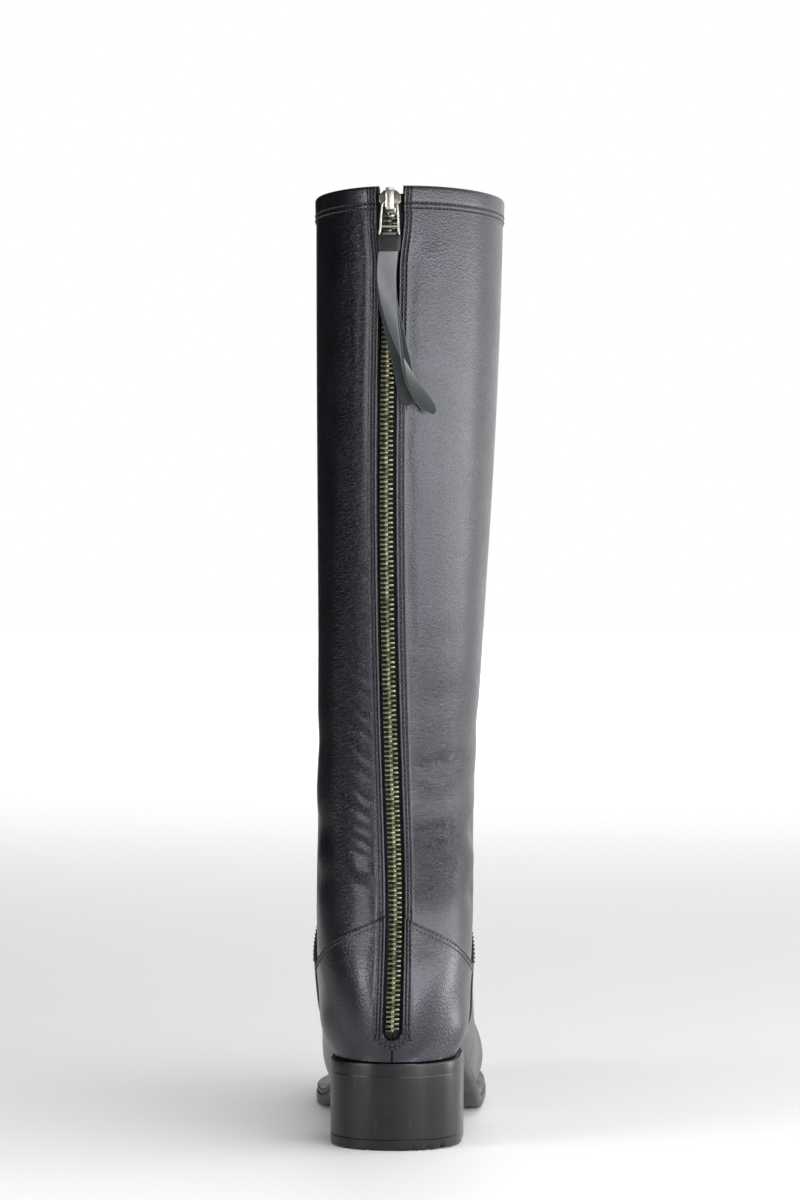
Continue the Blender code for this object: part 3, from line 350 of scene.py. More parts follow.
# Studio: walls by compass direction from straight ahead (+Y) round to the outer side, and softboxes
Wall = namedtuple("Wall", "azimuth bright")
WALLS = (
    Wall(-180.0, 0.05),
    Wall(-140.0, 0.012),
    Wall(-90.0, 0.004),
    Wall(-14.0, 0.006),
    Wall(-10.6, 0.62),
    Wall(20.0, 1.1),
    Wall(45.0, 1.35),
    Wall(85.0, 1.0),
    Wall(100.0, 0.8),
    Wall(125.0, 0.4),
    Wall(160.0, 0.15),
    Wall(180.0, 0.06),
)
WALL_STRENGTH = 2.0
BACKDROP = (1.0, 1.0, 1.0, 1.0)
LAMP_AIM_Y = 0.02
Lamp = namedtuple("Lamp", "name azimuth away z aim_z wide high power")
LAMPS = (
    Lamp("left_box", -124.0, 1.2, 0.38, 0.32, 0.56, 0.36, 7.6),
    Lamp("behind_box", 170.0, 1.2, 0.30, 0.30, 0.16, 0.40, 1.6),
    Lamp("right_box_1", 152.0, 1.2, 0.30, 0.30, 0.58, 0.40, 5.8),
    Lamp("right_box_2", 124.0, 1.2, 0.30, 0.30, 0.58, 0.40, 5.4),
    Lamp("right_box_3", 97.0, 1.2, 0.30, 0.30, 0.58, 0.40, 4.6),
    Lamp("right_box_4", 70.0, 1.2, 0.30, 0.30, 0.58, 0.40, 3.4),
    Lamp("heel_left", -142.0, 0.55, 0.055, 0.05, 0.07, 0.1, 0.3),
    Lamp("heel_behind", 142.0, 0.55, 0.055, 0.05, 0.07, 0.1, 0.26),
    Lamp("heel_right", 66.0, 0.55, 0.03, 0.02, 0.16, 0.05, 0.3),
    Lamp("above_box", 160.0, 0.5, 2.2, 0.2, 1.3, 1.3, 14.0),
)
# The camera sees a pale floor. Light and reflections find it dark beyond the picture's left border, which
# runs aslant on the floor, in metres.
FLOOR_SLANT = 0.191
FLOOR_HALF = 30.0
FLOOR_DARK, FLOOR_PALE = (0.006, 0.006, 0.006), (0.88, 0.885, 0.885)
FLOOR_SHADE = (-0.6, -0.27)
FLOOR_GLOW_SIDE = (-0.37, -0.216)
Glow = namedtuple("Glow", "start end strength")
FLOOR_GLOWS = (Glow(0.3, 2.4, 0.5), Glow(2.4, 6.0, 0.5))


def natural_spline(knots, values):
    """A smooth curve through values at the knots, as a function of one number or many."""
    knots = np.asarray(knots, float)
    values = np.asarray(values, float)
    gaps = np.diff(knots)
    last = len(knots) - 1
    system = np.eye(len(knots))
    pull = np.zeros_like(values)
    for i in range(1, last):
        system[i, i - 1 : i + 2] = gaps[i - 1], 2 * (gaps[i - 1] + gaps[i]), gaps[i]
        rise, fall = values[i + 1] - values[i], values[i] - values[i - 1]
        pull[i] = 6 * (rise / gaps[i] - fall / gaps[i - 1])
    bends = np.linalg.solve(system, pull)

    def at(x):
        i = np.clip(np.searchsorted(knots, x) - 1, 0, last - 1)
        b = (x - knots[i]) / gaps[i]
        step = gaps[i]
        if values.ndim > 1 and np.ndim(x):
            b, step = b[:, None], step[:, None]
        a = 1 - b
        bend = (a**3 - a) * bends[i] + (b**3 - b) * bends[i + 1]
        return a * values[i] + b * values[i + 1] + bend * step**2 / 6

    return at


def ease(x):
    """0 below 0, 1 above 1, and an S-curve between."""
    x = np.clip(x, 0.0, 1.0)
    return x * x * (3 - 2 * x)


def bell(x):
    return np.exp(-np.square(x))


def outline(rows):
    """(share_of, at) for an outline with round ends. A share runs from 0 at the heel to 1 at the toe."""
    start, length = rows[0].y, rows[-1].y - rows[0].y

    def share_of(y):
        return np.arccos(1 - 2 * np.clip((y - start) / length, 0.0, 1.0)) / math.pi

    widths = natural_spline([share_of(r.y) for r in rows], [(r.medial, r.lateral) for r in rows])

    def at(share):
        medial, lateral = np.maximum(widths(share), 0.0)
        return start + length * (1 - math.cos(math.pi * share)) / 2, medial, lateral

    return share_of, at


last_share, last_edge = outline(LAST_EDGE)
sole_share, sole_edge = outline(SOLE_EDGE)
foot_x = natural_spline([r.y for r in FOOT_LINE], [r.x for r in FOOT_LINE])
vamp_edge = natural_spline([r.z for r in VAMP_EDGE], [r.row for r in VAMP_EDGE])
zip_x = natural_spline([r.z for r in ZIP_LINE], [r.x for r in ZIP_LINE])
form = natural_spline(
    range(len(SECTIONS)),
    [(s.front_y, s.front_z, s.low_x, s.top_x, s.medial, s.lateral, s.belly, s.peak) for s in SECTIONS],
)
foot_rows = range(int(HEEL_ROW) + 1)
along_sole = natural_spline(foot_rows, [SECTIONS[i].back_y for i in foot_rows])
back_rows = range(int(HEEL_ROW), len(SECTIONS))
back_line = natural_spline(
    back_rows, [(SECTIONS[i].back_y, SECTIONS[i].back_z or HEEL_SEAT_Z) for i in back_rows]
)


def sole_bottom(y):
    if y < TREAD_START_Y:
        return SEAT_BOTTOM_Z * (1 - ease((y - ARCH_START_Y) / (TREAD_START_Y - ARCH_START_Y)))
    return TOE_SPRING * max((y - TREAD_END_Y) / (SOLE_TIP_Y - TREAD_END_Y), 0.0) ** 2


def welt_thick(y):
    return WELT_THIN + (WELT_THICK - WELT_THIN) * ease((y - WELT_START_Y) / WELT_SKIVE)


def outsole_top(y):
    return sole_bottom(y) + OUTSOLE_THICK


def feather_z(y):
    """Height of the upper's lower edge."""
    room = (welt_thick(y) + GAP) * ease((y - WELT_STEP_Y) / WELT_STEP)
    return outsole_top(y) + room + FEATHER_GAP


def slot_half(z):
    """Half the width of the zip's slot."""
    foot = np.clip((z - SLOT_FOOT_Z) / SLOT_HALF, 0.0, 1.0)
    widened = (SLOT_TOP_HALF - SLOT_HALF) * ease((z - SLOT_FLARE_Z) / SLOT_FLARE)
    return SLOT_HALF * np.sqrt(foot * (2 - foot)) + widened


Cut = namedtuple("Cut", "back_y back_z front_y front_z low_x top_x widest belly peak edge lean start")


def cut(t, side):
    """Sizes of section t on one side (-1 inner, 1 outer)."""
    front_y, front_z, low_x, top_x, medial, lateral, belly, peak = form(t)
    widest = medial if side < 0 else lateral
    if t < HEEL_ROW:
        back_y = along_sole(t)
        back_z = feather_z(back_y)
        edge = last_edge(last_share(back_y))[1 if side < 0 else 2]
        lean = start = math.asin(min(edge / widest, STEEPEST))
    else:
        back_y, back_z = back_line(t)
        edge, lean = 0.0, 0.0
        start = math.asin((side * (zip_x(back_z) - low_x) + slot_half(back_z)) / widest)
    return Cut(back_y, back_z, front_y, front_z, low_x, top_x, widest, belly, peak, edge, lean, start)


def place(section, side, along, across):
    """Points of a section, along it from the back to the front and across it."""
    x = section.low_x + (section.top_x - section.low_x) * along + side * across
    y = section.back_y + (section.front_y - section.back_y) * along
    z = section.back_z + (section.front_z - section.back_z) * along
    return np.stack([x, y, z], axis=-1)


def section_curve(t, side, count=400):
    """One side of section t, from its open edge to the front ridge, as points."""
    section = cut(t, side)
    angles = np.linspace(section.start, math.pi, count)
    cos, sin = np.abs(np.cos(angles)), np.sin(angles)
    power = 2 / section.peak
    widest, belly = section.widest, section.belly
    low = angles < math.pi / 2
    low_along = belly * (1 - cos / math.cos(section.lean))
    low_across = widest - (widest - section.edge) * (1 - sin) / (1 - math.sin(section.lean))
    along = np.where(low, low_along, belly + (1 - belly) * cos**power)
    across = np.where(low, low_across, widest * np.maximum(sin, 0) ** power)
    return place(section, side, along, across)


def at_height(t, side, z):
    """The point of section t that lies at height z, below its widest place."""
    section = cut(t, side)
    along = (z - section.back_z) / (section.front_z - section.back_z)
    cos = np.clip((1 - along / section.belly) * math.cos(section.lean), -1.0, 1.0)
    sin = np.sqrt(1 - cos * cos)
    across = section.widest - (section.widest - section.edge) * (1 - sin) / (1 - math.sin(section.lean))
    return place(section, side, along, across)


def distances(points, axis=0):
    """Distance covered along one axis of a row or grid of points, starting with 0."""
    steps = np.linalg.norm(np.diff(points, axis=axis), axis=-1)
    start = np.zeros_like(np.take(steps, [0], axis=axis))
    return np.concatenate([start, np.cumsum(steps, axis=axis)], axis=axis)


def between(wanted, steps, points):
    """Points, or other rows of numbers, read at wanted places between their steps."""
    return np.stack([np.interp(wanted, steps, column) for column in points.T], axis=-1)


def surface_row(t, side, shares):
    """Points of section t at shares of its length, and that length."""
    curve = section_curve(t, side)
    lengths = distances(curve)
    return between(np.asarray(shares) * lengths[-1], lengths, curve), lengths[-1]


def on_leather(t, aside):
    """The bare leather at section t, aside from the zip's line."""
    front_y, front_z, low_x, _, medial, lateral, belly, _ = form(t)
    back_y, height = back_line(t)
    x = zip_x(height) + aside
    widest = lateral if x > low_x else medial
    along = belly * (1 - math.sqrt(1 - ((x - low_x) / widest) ** 2))
    return np.array([x, back_y + (front_y - back_y) * along, height + (front_z - height) * along])


def skin(t, x, out):
    """The leather at section t, x to the side of the zip's line, raised outwards by out."""
    step_t, step_x = 0.05, 0.5
    across = on_leather(t, x + step_x) - on_leather(t, x - step_x)
    climb = on_leather(min(t + step_t, COLLAR_ROW), x) - on_leather(max(t - step_t, HEEL_ROW), x)
    normal = np.cross(across, climb)
    normal /= np.linalg.norm(normal)
    return on_leather(t, x) + normal * out, normal


BACK_ROWS = np.linspace(HEEL_ROW, COLLAR_ROW, 281)
BACK_HEIGHTS = back_line(BACK_ROWS)[:, 1]


def row_at(z):
    """The section whose back end is at height z."""
    return np.interp(z, BACK_HEIGHTS, BACK_ROWS)


def zip_frame(z):
    """A point on the zip's line at height z, the way straight out from it, and the way up along it."""
    t = float(row_at(z))
    foot, normal = skin(t, 0.0, 0.0)
    outward = np.array([0.0, normal[1], normal[2]])
    outward /= np.linalg.norm(outward)
    return foot, outward, np.array([0.0, outward[2], -outward[1]])


def from_zip(z, x, out, up=0.0):
    """A point beside the zip's line at height z."""
    foot, outward, climb = zip_frame(z)
    return foot + np.array([x, 0.0, 0.0]) + outward * out + climb * up


def hang(x, drop, out):
    """A point of the pull: x sideways, drop below the pivot, out from the leather there."""
    return from_zip(PIVOT_Z - drop, x, out)


def to_row(points):
    return (np.asarray(points, float) - (0.0, HEEL_CENTRE_Y, 0.0)) * MM


# Meshes


def new_piece(name, verts, faces, materials, body, slot, replaces=(), sharp=40.0):
    """A mesh piece from points in shoemaker's millimetres that rides on a body."""
    mesh = bpy.data.meshes.new(name)
    mesh.from_pydata(to_row(verts).tolist(), [], [tuple(f) for f in faces])
    mesh.validate()
    shape = bmesh.new()
    shape.from_mesh(mesh)
    bmesh.ops.recalc_face_normals(shape, faces=shape.faces)
    shape.to_mesh(mesh)
    shape.free()
    for each in materials:
        mesh.materials.append(each)
    mesh.shade_smooth()
    mesh.set_sharp_from_angle(angle=math.radians(sharp))
    made = bpy.data.objects.new(name, mesh)
    bpy.context.scene.collection.objects.link(made)
    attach(made, body)
    if replaces:
        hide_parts(*replaces)
    return made


def grid_faces(rows, columns, start=0, flip=False):
    index = np.arange(rows * columns).reshape(rows, columns) + start
    corners = [index[:-1, :-1], index[1:, :-1], index[1:, 1:], index[:-1, 1:]]
    faces = np.stack([c.ravel() for c in corners], axis=1)
    return faces[:, ::-1] if flip else faces


def grid_normals(points):
    """Outward normals of a grid whose rows climb and whose columns go from the inner to the outer side."""
    climb, across = np.gradient(points, axis=0), np.gradient(points, axis=1)
    normal = np.cross(climb, across)
    return normal / np.maximum(np.linalg.norm(normal, axis=2, keepdims=True), 1e-9)


def closed_wall(outer, inner, every):
    """Points and faces of a wall between a fine outer grid and an inner one that skips columns."""
    rows, fine = outer.shape[:2]
    coarse = inner.shape[1]
    verts = np.concatenate([outer.reshape(-1, 3), inner.reshape(-1, 3)])
    start = rows * fine
    faces = [tuple(f) for f in grid_faces(rows, fine)]
    inner_faces = [tuple(f) for f in grid_faces(rows, coarse, start, flip=True)]
    rim = []
    for r in range(rows - 1):
        for out_column, in_column in ((0, 0), (fine - 1, coarse - 1)):
            a, b = r * fine + out_column, start + r * coarse + in_column
            rim.append((a, b, b + coarse, a + fine))
    for r in (0, rows - 1):
        for k in range(coarse - 1):
            last = min((k + 1) * every, fine - 1)
            edge = [r * fine + j for j in range(k * every, last + 1)]
            rim.append(tuple(edge + [start + r * coarse + k + 1, start + r * coarse + k]))
    return verts, faces + rim, inner_faces


def skip_columns(grid, every):
    """A grid with fewer columns, its last one kept."""
    columns = list(range(0, grid.shape[1] - 1, every)) + [grid.shape[1] - 1]
    return grid[:, columns]


def joined(shapes):
    """Points and faces of several shapes as one."""
    verts, faces, start = [], [], 0
    for points, each in shapes:
        verts.append(points)
        faces += [tuple(v + start for v in face) for face in each]
        start += len(points)
    return np.concatenate(verts), faces


def second_material(piece, chosen):
    """Gives a piece's second material to the faces that an index, a slice or a mask picks."""
    index = np.zeros(len(piece.data.polygons), dtype=np.int32)
    index[chosen] = 1
    piece.data.polygons.foreach_set("material_index", index)


def leather_piece(name, verts, faces, materials, sharp):
    """A piece of the boot's leather that stands for the solid of its name."""
    return new_piece(name, verts, faces, materials, "boot", "upper_leather", [name], sharp)


def ringed_piece(name, rings, materials, body, slot, sharp, looped=False):
    """A piece lofted through rings that stands for the solid of its name."""
    rings = np.asarray(rings)
    faces = loft_faces(len(rings), rings.shape[1], looped)
    return new_piece(name, rings.reshape(-1, 3), faces, materials, body, slot, [name], sharp)


def add_coordinates(piece, flat, wrinkle, painted_shade):
    """Stores flat coordinates (metres along the leather), wrinkles and painted shade on a piece's first
    points.
    """
    mesh = piece.data
    count = len(flat)
    every = np.zeros((len(mesh.vertices), 2))
    every[:count] = flat * MM
    loops = np.zeros(len(mesh.loops), dtype=np.int32)
    mesh.loops.foreach_get("vertex_index", loops)
    layer = mesh.uv_layers.new(name="leather")
    layer.data.foreach_set("uv", every[loops].ravel())
    for name, values in (("wrinkle", wrinkle), ("painted_shade", painted_shade)):
        whole = np.zeros(len(mesh.vertices))
        whole[:count] = values
        mesh.attributes.new(name, "FLOAT", "POINT").data.foreach_set("value", whole)


def loft_faces(rings, around, looped=False):
    """Faces through rings of points. The two ends are filled, or meet where the rings make a loop."""
    faces = []
    for i in range(rings if looped else rings - 1):
        here, after = i * around, (i + 1) % rings * around
        for j in range(around):
            k = (j + 1) % around
            faces.append((here + j, here + k, after + k, after + j))
    if not looped:
        faces.append(tuple(range(around))[::-1])
        faces.append(tuple((rings - 1) * around + j for j in range(around)))
    return faces


def many(template, faces, places, frames):
    """Copies of a small shape: template points in its own axes, one frame (3 axes) and place for each."""
    verts = places[:, None, :] + np.einsum("pk,nkc->npc", template, frames)
    size = len(template)
    copies = [tuple(v + i * size for v in face) for i in range(len(places)) for face in faces]
    return verts.reshape(-1, 3), copies


# Materials


def nodes_of(made):
    return made.node_tree.nodes, made.node_tree.links


def principled(name, colour, roughness, **sockets):
    """A material with constant values set on the shader's own sockets."""
    made = bpy.data.materials.new(name)
    made.use_nodes = True
    shader = made.node_tree.nodes["Principled BSDF"]
    shader.inputs["Base Color"].default_value = (*colour, 1.0)
    shader.inputs["Roughness"].default_value = roughness
    for socket, value in sockets.items():
        shader.inputs[socket.replace("_", " ")].default_value = value
    return made


def texture(made, kind, scale, vector=None, **values):
    nodes, links = nodes_of(made)
    node = nodes.new("ShaderNodeTex" + kind)
    node.inputs["Scale"].default_value = scale
    for socket, value in values.items():
        node.inputs[socket].default_value = value
    links.new(vector or coordinates(made), node.inputs["Vector"])
    return node


def coordinates(made):
    """The shared object coordinates of a material."""
    nodes, _ = nodes_of(made)
    node = nodes.get("coordinates") or nodes.new("ShaderNodeTexCoord")
    node.name = "coordinates"
    return node.outputs["Object"]


def stretched(made, source, scale, turn=0.0):
    """Coordinates scaled and turned, for grain that runs one way."""
    nodes, links = nodes_of(made)
    node = nodes.new("ShaderNodeMapping")
    node.inputs["Scale"].default_value = scale
    node.inputs["Rotation"].default_value = (0.0, 0.0, math.radians(turn))
    links.new(source, node.inputs["Vector"])
    return node.outputs["Vector"]


def flat_coordinates(made):
    nodes, _ = nodes_of(made)
    node = nodes.new("ShaderNodeUVMap")
    node.uv_map = "leather"
    return node.outputs["UV"]


def attribute(made, name):
    """A value that the piece's points carry."""
    nodes, _ = nodes_of(made)
    node = nodes.new("ShaderNodeAttribute")
    node.attribute_name = name
    return node.outputs["Fac"]


def remap(made, source, low, high, to_low, to_high):
    nodes, links = nodes_of(made)
    node = nodes.new("ShaderNodeMapRange")
    node.inputs["From Min"].default_value = low
    node.inputs["From Max"].default_value = high
    node.inputs["To Min"].default_value = to_low
    node.inputs["To Max"].default_value = to_high
    links.new(source, node.inputs["Value"])
    return node.outputs["Result"]


def math_node(made, operation, a, b):
    nodes, links = nodes_of(made)
    node = nodes.new("ShaderNodeMath")
    node.operation = operation
    for k, value in enumerate((a, b)):
        if isinstance(value, (int, float)):
            node.inputs[k].default_value = value
        else:
            links.new(value, node.inputs[k])
    return node.outputs[0]


def bump(made, height, distance, strength=1.0):
    """Adds a bump layer, in millimetres of height, below those that are there."""
    nodes, links = nodes_of(made)
    shader = nodes["Principled BSDF"]
    node = nodes.new("ShaderNodeBump")
    node.inputs["Distance"].default_value = distance * MM
    node.inputs["Strength"].default_value = strength
    links.new(height, node.inputs["Height"])
    if shader.inputs["Normal"].is_linked:
        links.new(shader.inputs["Normal"].links[0].from_socket, node.inputs["Normal"])
    links.new(node.outputs["Normal"], shader.inputs["Normal"])


def tint(made, factor, low, high):
    """Mixes two colours into the base colour by a factor."""
    nodes, links = nodes_of(made)
    node = nodes.new("ShaderNodeMix")
    node.data_type = "RGBA"
    node.inputs["A"].default_value = (*low, 1.0)
    node.inputs["B"].default_value = (*high, 1.0)
    links.new(factor, node.inputs["Factor"])
    links.new(node.outputs["Result"], nodes["Principled BSDF"].inputs["Base Color"])


def roughen(made, source, low, high):
    nodes, links = nodes_of(made)
    links.new(remap(made, source, 0.3, 0.7, low, high), nodes["Principled BSDF"].inputs["Roughness"])


GLOSS_TINT = (0.86, 0.87, 1.0)


def leather_material():
    """Smooth black calf: fine grain, slight mottling, wrinkles, and painted shade in grooves and along edges
    where the piece says so.
    """
    gloss = {"Coat_Weight": 0.25, "Coat_Roughness": 0.26, "Specular_Tint": (*GLOSS_TINT, 1.0)}
    made = principled("leather", (0.005, 0.005, 0.007), 0.34, **gloss)
    mottle = texture(made, "Noise", 55.0, Detail=4.0, Roughness=0.6)
    roughen(made, mottle.outputs["Fac"], 0.28, 0.4)
    shade = remap(made, mottle.outputs["Fac"], 0.3, 0.7, 0.0, 1.0)
    tint(made, shade, (0.004, 0.004, 0.0058), (0.007, 0.007, 0.0095))
    nodes, links = nodes_of(made)
    shader = nodes["Principled BSDF"]
    # Painted shade: where the piece's shade value is high, gloss and coat are taken away, darkening grooves,
    # edges and the ankle
    painted_shade = attribute(made, "painted_shade")
    links.new(remap(made, painted_shade, 0.0, 1.0, 0.5, 0.04), shader.inputs["Specular IOR Level"])
    links.new(remap(made, painted_shade, 0.0, 1.0, 0.25, 0.0), shader.inputs["Coat Weight"])
    strength = attribute(made, "wrinkle")
    flat = flat_coordinates(made)
    for turn, share in ((38.0, 1.0), (52.0, 0.7)):
        path = stretched(made, flat, (0.42, 1.5, 1.0), turn)
        lines = texture(made, "Noise", 560.0, path, Detail=3.0, Roughness=0.55, Distortion=0.8)
        ridged = remap(made, lines.outputs["Fac"], 0.36, 0.62, 0.0, 1.0)
        bump(made, math_node(made, "MULTIPLY", ridged, strength), 0.72 * share)
    cells = texture(made, "Voronoi", 1200.0)
    cells.feature = "SMOOTH_F1"
    bump(made, cells.outputs["Distance"], 0.2, 0.85)
    pores = texture(made, "Noise", 2300.0, Detail=2.0)
    bump(made, pores.outputs["Fac"], 0.02, 0.5)
    return made


PULL_TINT = (0.95, 0.99, 1.06)


def strap_material(name, shade, gloss):
    """The pull's leather, duller than the boot's, with its base brightness given for each piece."""
    made = principled(name, (shade, shade, shade), 0.48, Specular_IOR_Level=gloss)
    mottle = texture(made, "Noise", 160.0, Detail=4.0)
    tint(made, mottle.outputs["Fac"], *(tuple(shade * c * k for c in PULL_TINT) for k in (0.8, 1.2)))
    cells = texture(made, "Voronoi", 1300.0)
    bump(made, cells.outputs["Distance"], 0.03, 0.5)
    return made


def suede_material():
    made = principled("suede", (0.012, 0.02, 0.019), 0.95, Sheen_Weight=0.35, Sheen_Roughness=0.5)
    nap = texture(made, "Noise", 900.0, Detail=5.0, Roughness=0.7)
    tint(made, nap.outputs["Fac"], (0.006, 0.011, 0.0105), (0.022, 0.033, 0.031))
    bump(made, nap.outputs["Fac"], 0.25, 0.8)
    return made


def lining_material():
    made = principled("lining", (0.045, 0.042, 0.04), 0.6)
    mottle = texture(made, "Noise", 120.0, Detail=5.0)
    tint(made, mottle.outputs["Fac"], (0.03, 0.028, 0.027), (0.06, 0.056, 0.052))
    pores = texture(made, "Voronoi", 900.0)
    bump(made, pores.outputs["Distance"], 0.06, 0.5)
    return made


def edge_material():
    """Raw cut edge of the leather: matt black with fibres."""
    made = principled("cut_edge", (0.007, 0.007, 0.008), 0.8)
    fibre = texture(made, "Noise", 1500.0, Detail=4.0)
    bump(made, fibre.outputs["Fac"], 0.12, 0.7)
    return made


def thread_material():
    made = principled("thread", (0.011, 0.011, 0.013), 0.55, Sheen_Weight=0.2)
    twist = texture(made, "Wave", 900.0, Distortion=2.0)
    bump(made, twist.outputs["Fac"], 0.06, 0.6)
    return made


def sole_material(name, colour, low, high, gloss):
    """Black sole or heel edge: painted, a little uneven, with small upright scuffs."""
    made = principled(name, colour, low, Specular_IOR_Level=gloss)
    mottle = texture(made, "Noise", 70.0, Detail=6.0)
    roughen(made, mottle.outputs["Fac"], low, high)
    upright = stretched(made, coordinates(made), (3.2, 3.2, 0.45), 12.0)
    scuff = texture(made, "Noise", 150.0, upright, Detail=6.0)
    mark = remap(made, scuff.outputs["Fac"], 0.65, 0.8, 0.0, 1.0)
    pale = tuple(c * 3.2 + 0.02 for c in colour)
    tint(made, mark, colour, pale)
    bump(made, scuff.outputs["Fac"], 0.1, 0.4)
    bump(made, mottle.outputs["Fac"], 0.25, 0.4)
    return made


def rubber_material(name):
    made = principled(name, (0.012, 0.012, 0.012), 0.68)
    grit = texture(made, "Noise", 700.0, Detail=4.0)
    tint(made, grit.outputs["Fac"], (0.008, 0.008, 0.008), (0.024, 0.023, 0.022))
    bump(made, grit.outputs["Fac"], 0.15, 0.6)
    return made


def insole_material():
    made = principled("insole_leather", (0.075, 0.06, 0.048), 0.62)
    mottle = texture(made, "Noise", 90.0, Detail=6.0)
    tint(made, mottle.outputs["Fac"], (0.05, 0.04, 0.032), (0.11, 0.09, 0.07))
    grain = texture(made, "Voronoi", 1000.0)
    bump(made, grain.outputs["Distance"], 0.08, 0.5)
    return made


def tape_material():
    """Woven zip tape: ribs across it, with a fine weave."""
    made = principled("tape", (0.006, 0.006, 0.0065), 0.85, Sheen_Weight=0.15)
    ribs = texture(made, "Wave", 330.0)
    ribs.bands_direction = "Z"
    bump(made, ribs.outputs["Fac"], 0.2, 0.8)
    weave = texture(made, "Noise", 1800.0)
    tint(made, weave.outputs["Fac"], (0.004, 0.004, 0.0045), (0.012, 0.012, 0.013))
    bump(made, weave.outputs["Fac"], 0.08, 0.6)
    return made


def metal_material(name, light, dark, roughness):
    """Plated metal, darker where it has tarnished."""
    made = principled(name, light, roughness, Metallic=1.0)
    tarnish = texture(made, "Noise", 420.0, Detail=4.0)
    tint(made, remap(made, tarnish.outputs["Fac"], 0.42, 0.62, 0.0, 1.0), light, dark)
    roughen(made, tarnish.outputs["Fac"], roughness, roughness + 0.15)
    fine = texture(made, "Noise", 2500.0)
    bump(made, fine.outputs["Fac"], 0.02, 0.5)
    return made


LEATHER = leather_material()
# Painted light: the strap's pale grey base colour stands for light on its face; the keeper keeps the pull's
# black
STRAP_LEATHER = strap_material("strap_leather", 0.135, 0.5)
KEEPER_LEATHER = strap_material("keeper_leather", 0.012, 0.25)
LINING = lining_material()
CUT_EDGE = edge_material()
THREAD_BLACK = thread_material()
SUEDE = suede_material()
SOLE_BLACK = sole_material("sole_black", (0.016, 0.016, 0.018), 0.36, 0.52, 0.5)
HEEL_BLACK = sole_material("heel_black", (0.003, 0.003, 0.0034), 0.27, 0.36, 0.4)
RUBBER = rubber_material("rubber")
INSOLE = insole_material()
TAPE = tape_material()
BRASS = metal_material("brass", (0.225, 0.226, 0.138), (0.065, 0.066, 0.042), 0.3)
NICKEL = metal_material("nickel", (0.2, 0.195, 0.15), (0.11, 0.105, 0.075), 0.36)
STEEL = metal_material("steel", (0.6, 0.59, 0.53), (0.42, 0.41, 0.36), 0.3)


# Leather


def slot_distance(away, z):
    """Distance from the slot's edge, round its foot as well, from the distance at the same height."""
    below = np.minimum(z - SLOT_ARC_Z, 0.0)
    return np.where(below < 0, np.hypot(away + slot_half(z), below) - SLOT_HALF, away)


def sewn(away):
    """1 in the grooves of the two rows of stitches beside the zip, 0 elsewhere."""
    return sum(bell((away - row) / GROOVE_WIDE) for row in ZIP_STITCHES)


def foot_fade(z):
    """0 below the zip's foot, where the relief beside it runs out, and 1 above."""
    return ease((z - SLOT_FOOT_Z + RELIEF_BELOW) / RELIEF_RUN)


def placket(away):
    """How far the leather stands out beside the zip: rolled in at its edge, a ridge, two sewn grooves."""
    roll = -FOLD_DEEP * bell(away / FOLD_ROLL)
    ridge = RIDGE_HIGH * bell((away - RIDGE_AT) / RIDGE_WIDE)
    step = PLACKET_HIGH * (1 - ease((away - PLACKET_END) / PLACKET_FADE))
    return roll + ridge - GROOVE_DEEP * sewn(away) + step


def zip_painted_shade(away):
    """Painted shade beside the zip, where the leather lies in shade: its rolled edge and the sewn grooves."""
    return np.clip(bell(away / SHADE_WIDE) + GROOVE_SHADE * sewn(away), 0.0, 1.0)


def on_side(rows, side):
    return [row for row in rows if row.side == side]


def trough(across, ridge, spread):
    """A trough with a soft ridge on both sides of it."""
    return bell(across) - ridge * bell(across / spread)


def faded(row, away, z):
    """1 in the middle of a patch of leather, by distance from the zip and height, and less round it."""
    return bell((z - row.z) / row.high) * bell((away - row.away) / row.wide)


CREASE_RIDGE, CREASE_SPREAD = 0.45, 2.2
CREASE_SWAY, CREASE_SWAYS = 0.8, 0.35  # how far and how fast a crease sways
CREASE_START, CREASE_HEAD, CREASE_END = 4.0, 0.4, 2.2  # how fast it sets in, its start, how fast it ends
STREAK_SWAY, STREAK_SWAYS = 0.6, 0.11
WAVE_START, WAVE_END = 14.0, 25.0  # lengths over which a dent or streak fades at its two ends
STREAK_START, STREAK_END = 30.0, 12.0
FOLDS_UNDER_SEAM, FOLDS_FADE = 2.0, 8.0  # they set in above the counter


def folds(side, away, z):
    """Creases and dents of the shaft at distances from the zip and heights, outwards in millimetres."""
    out = np.zeros_like(away)
    for row in on_side(CREASES, side):
        share = (away - row.near) / (row.far - row.near)
        ends = ease(share * CREASE_START + CREASE_HEAD) * ease((1 - share) * CREASE_END)
        line = row.z + row.rise * share + CREASE_SWAY * np.sin(away * CREASE_SWAYS + row.z)
        out -= row.deep * ends * trough((z - line) / row.wide, CREASE_RIDGE, CREASE_SPREAD)
    for row in on_side(WAVES, side):
        ends = ease((away - row.near) / WAVE_START) * ease((row.far - away) / WAVE_END)
        out -= row.deep * ends * bell((z - row.z) / row.high)
    for row in on_side(STREAKS, side):
        line = row.away + row.lean * (z - row.low) + STREAK_SWAY * np.sin(z * STREAK_SWAYS + row.away)
        ends = ease((z - row.low) / STREAK_START) * ease((row.high - z) / STREAK_END)
        out -= row.deep * ends * bell((away - line) / row.wide)
    return out * ease((z - SEAM_Z + FOLDS_UNDER_SEAM) / FOLDS_FADE)


def wrinkles(side, away, z):
    """How strong the fine wrinkles of the shaft are, from 0 to 1."""
    return np.minimum(sum(row.strength * faded(row, away, z) for row in on_side(WRINKLES, side)), 1.0)


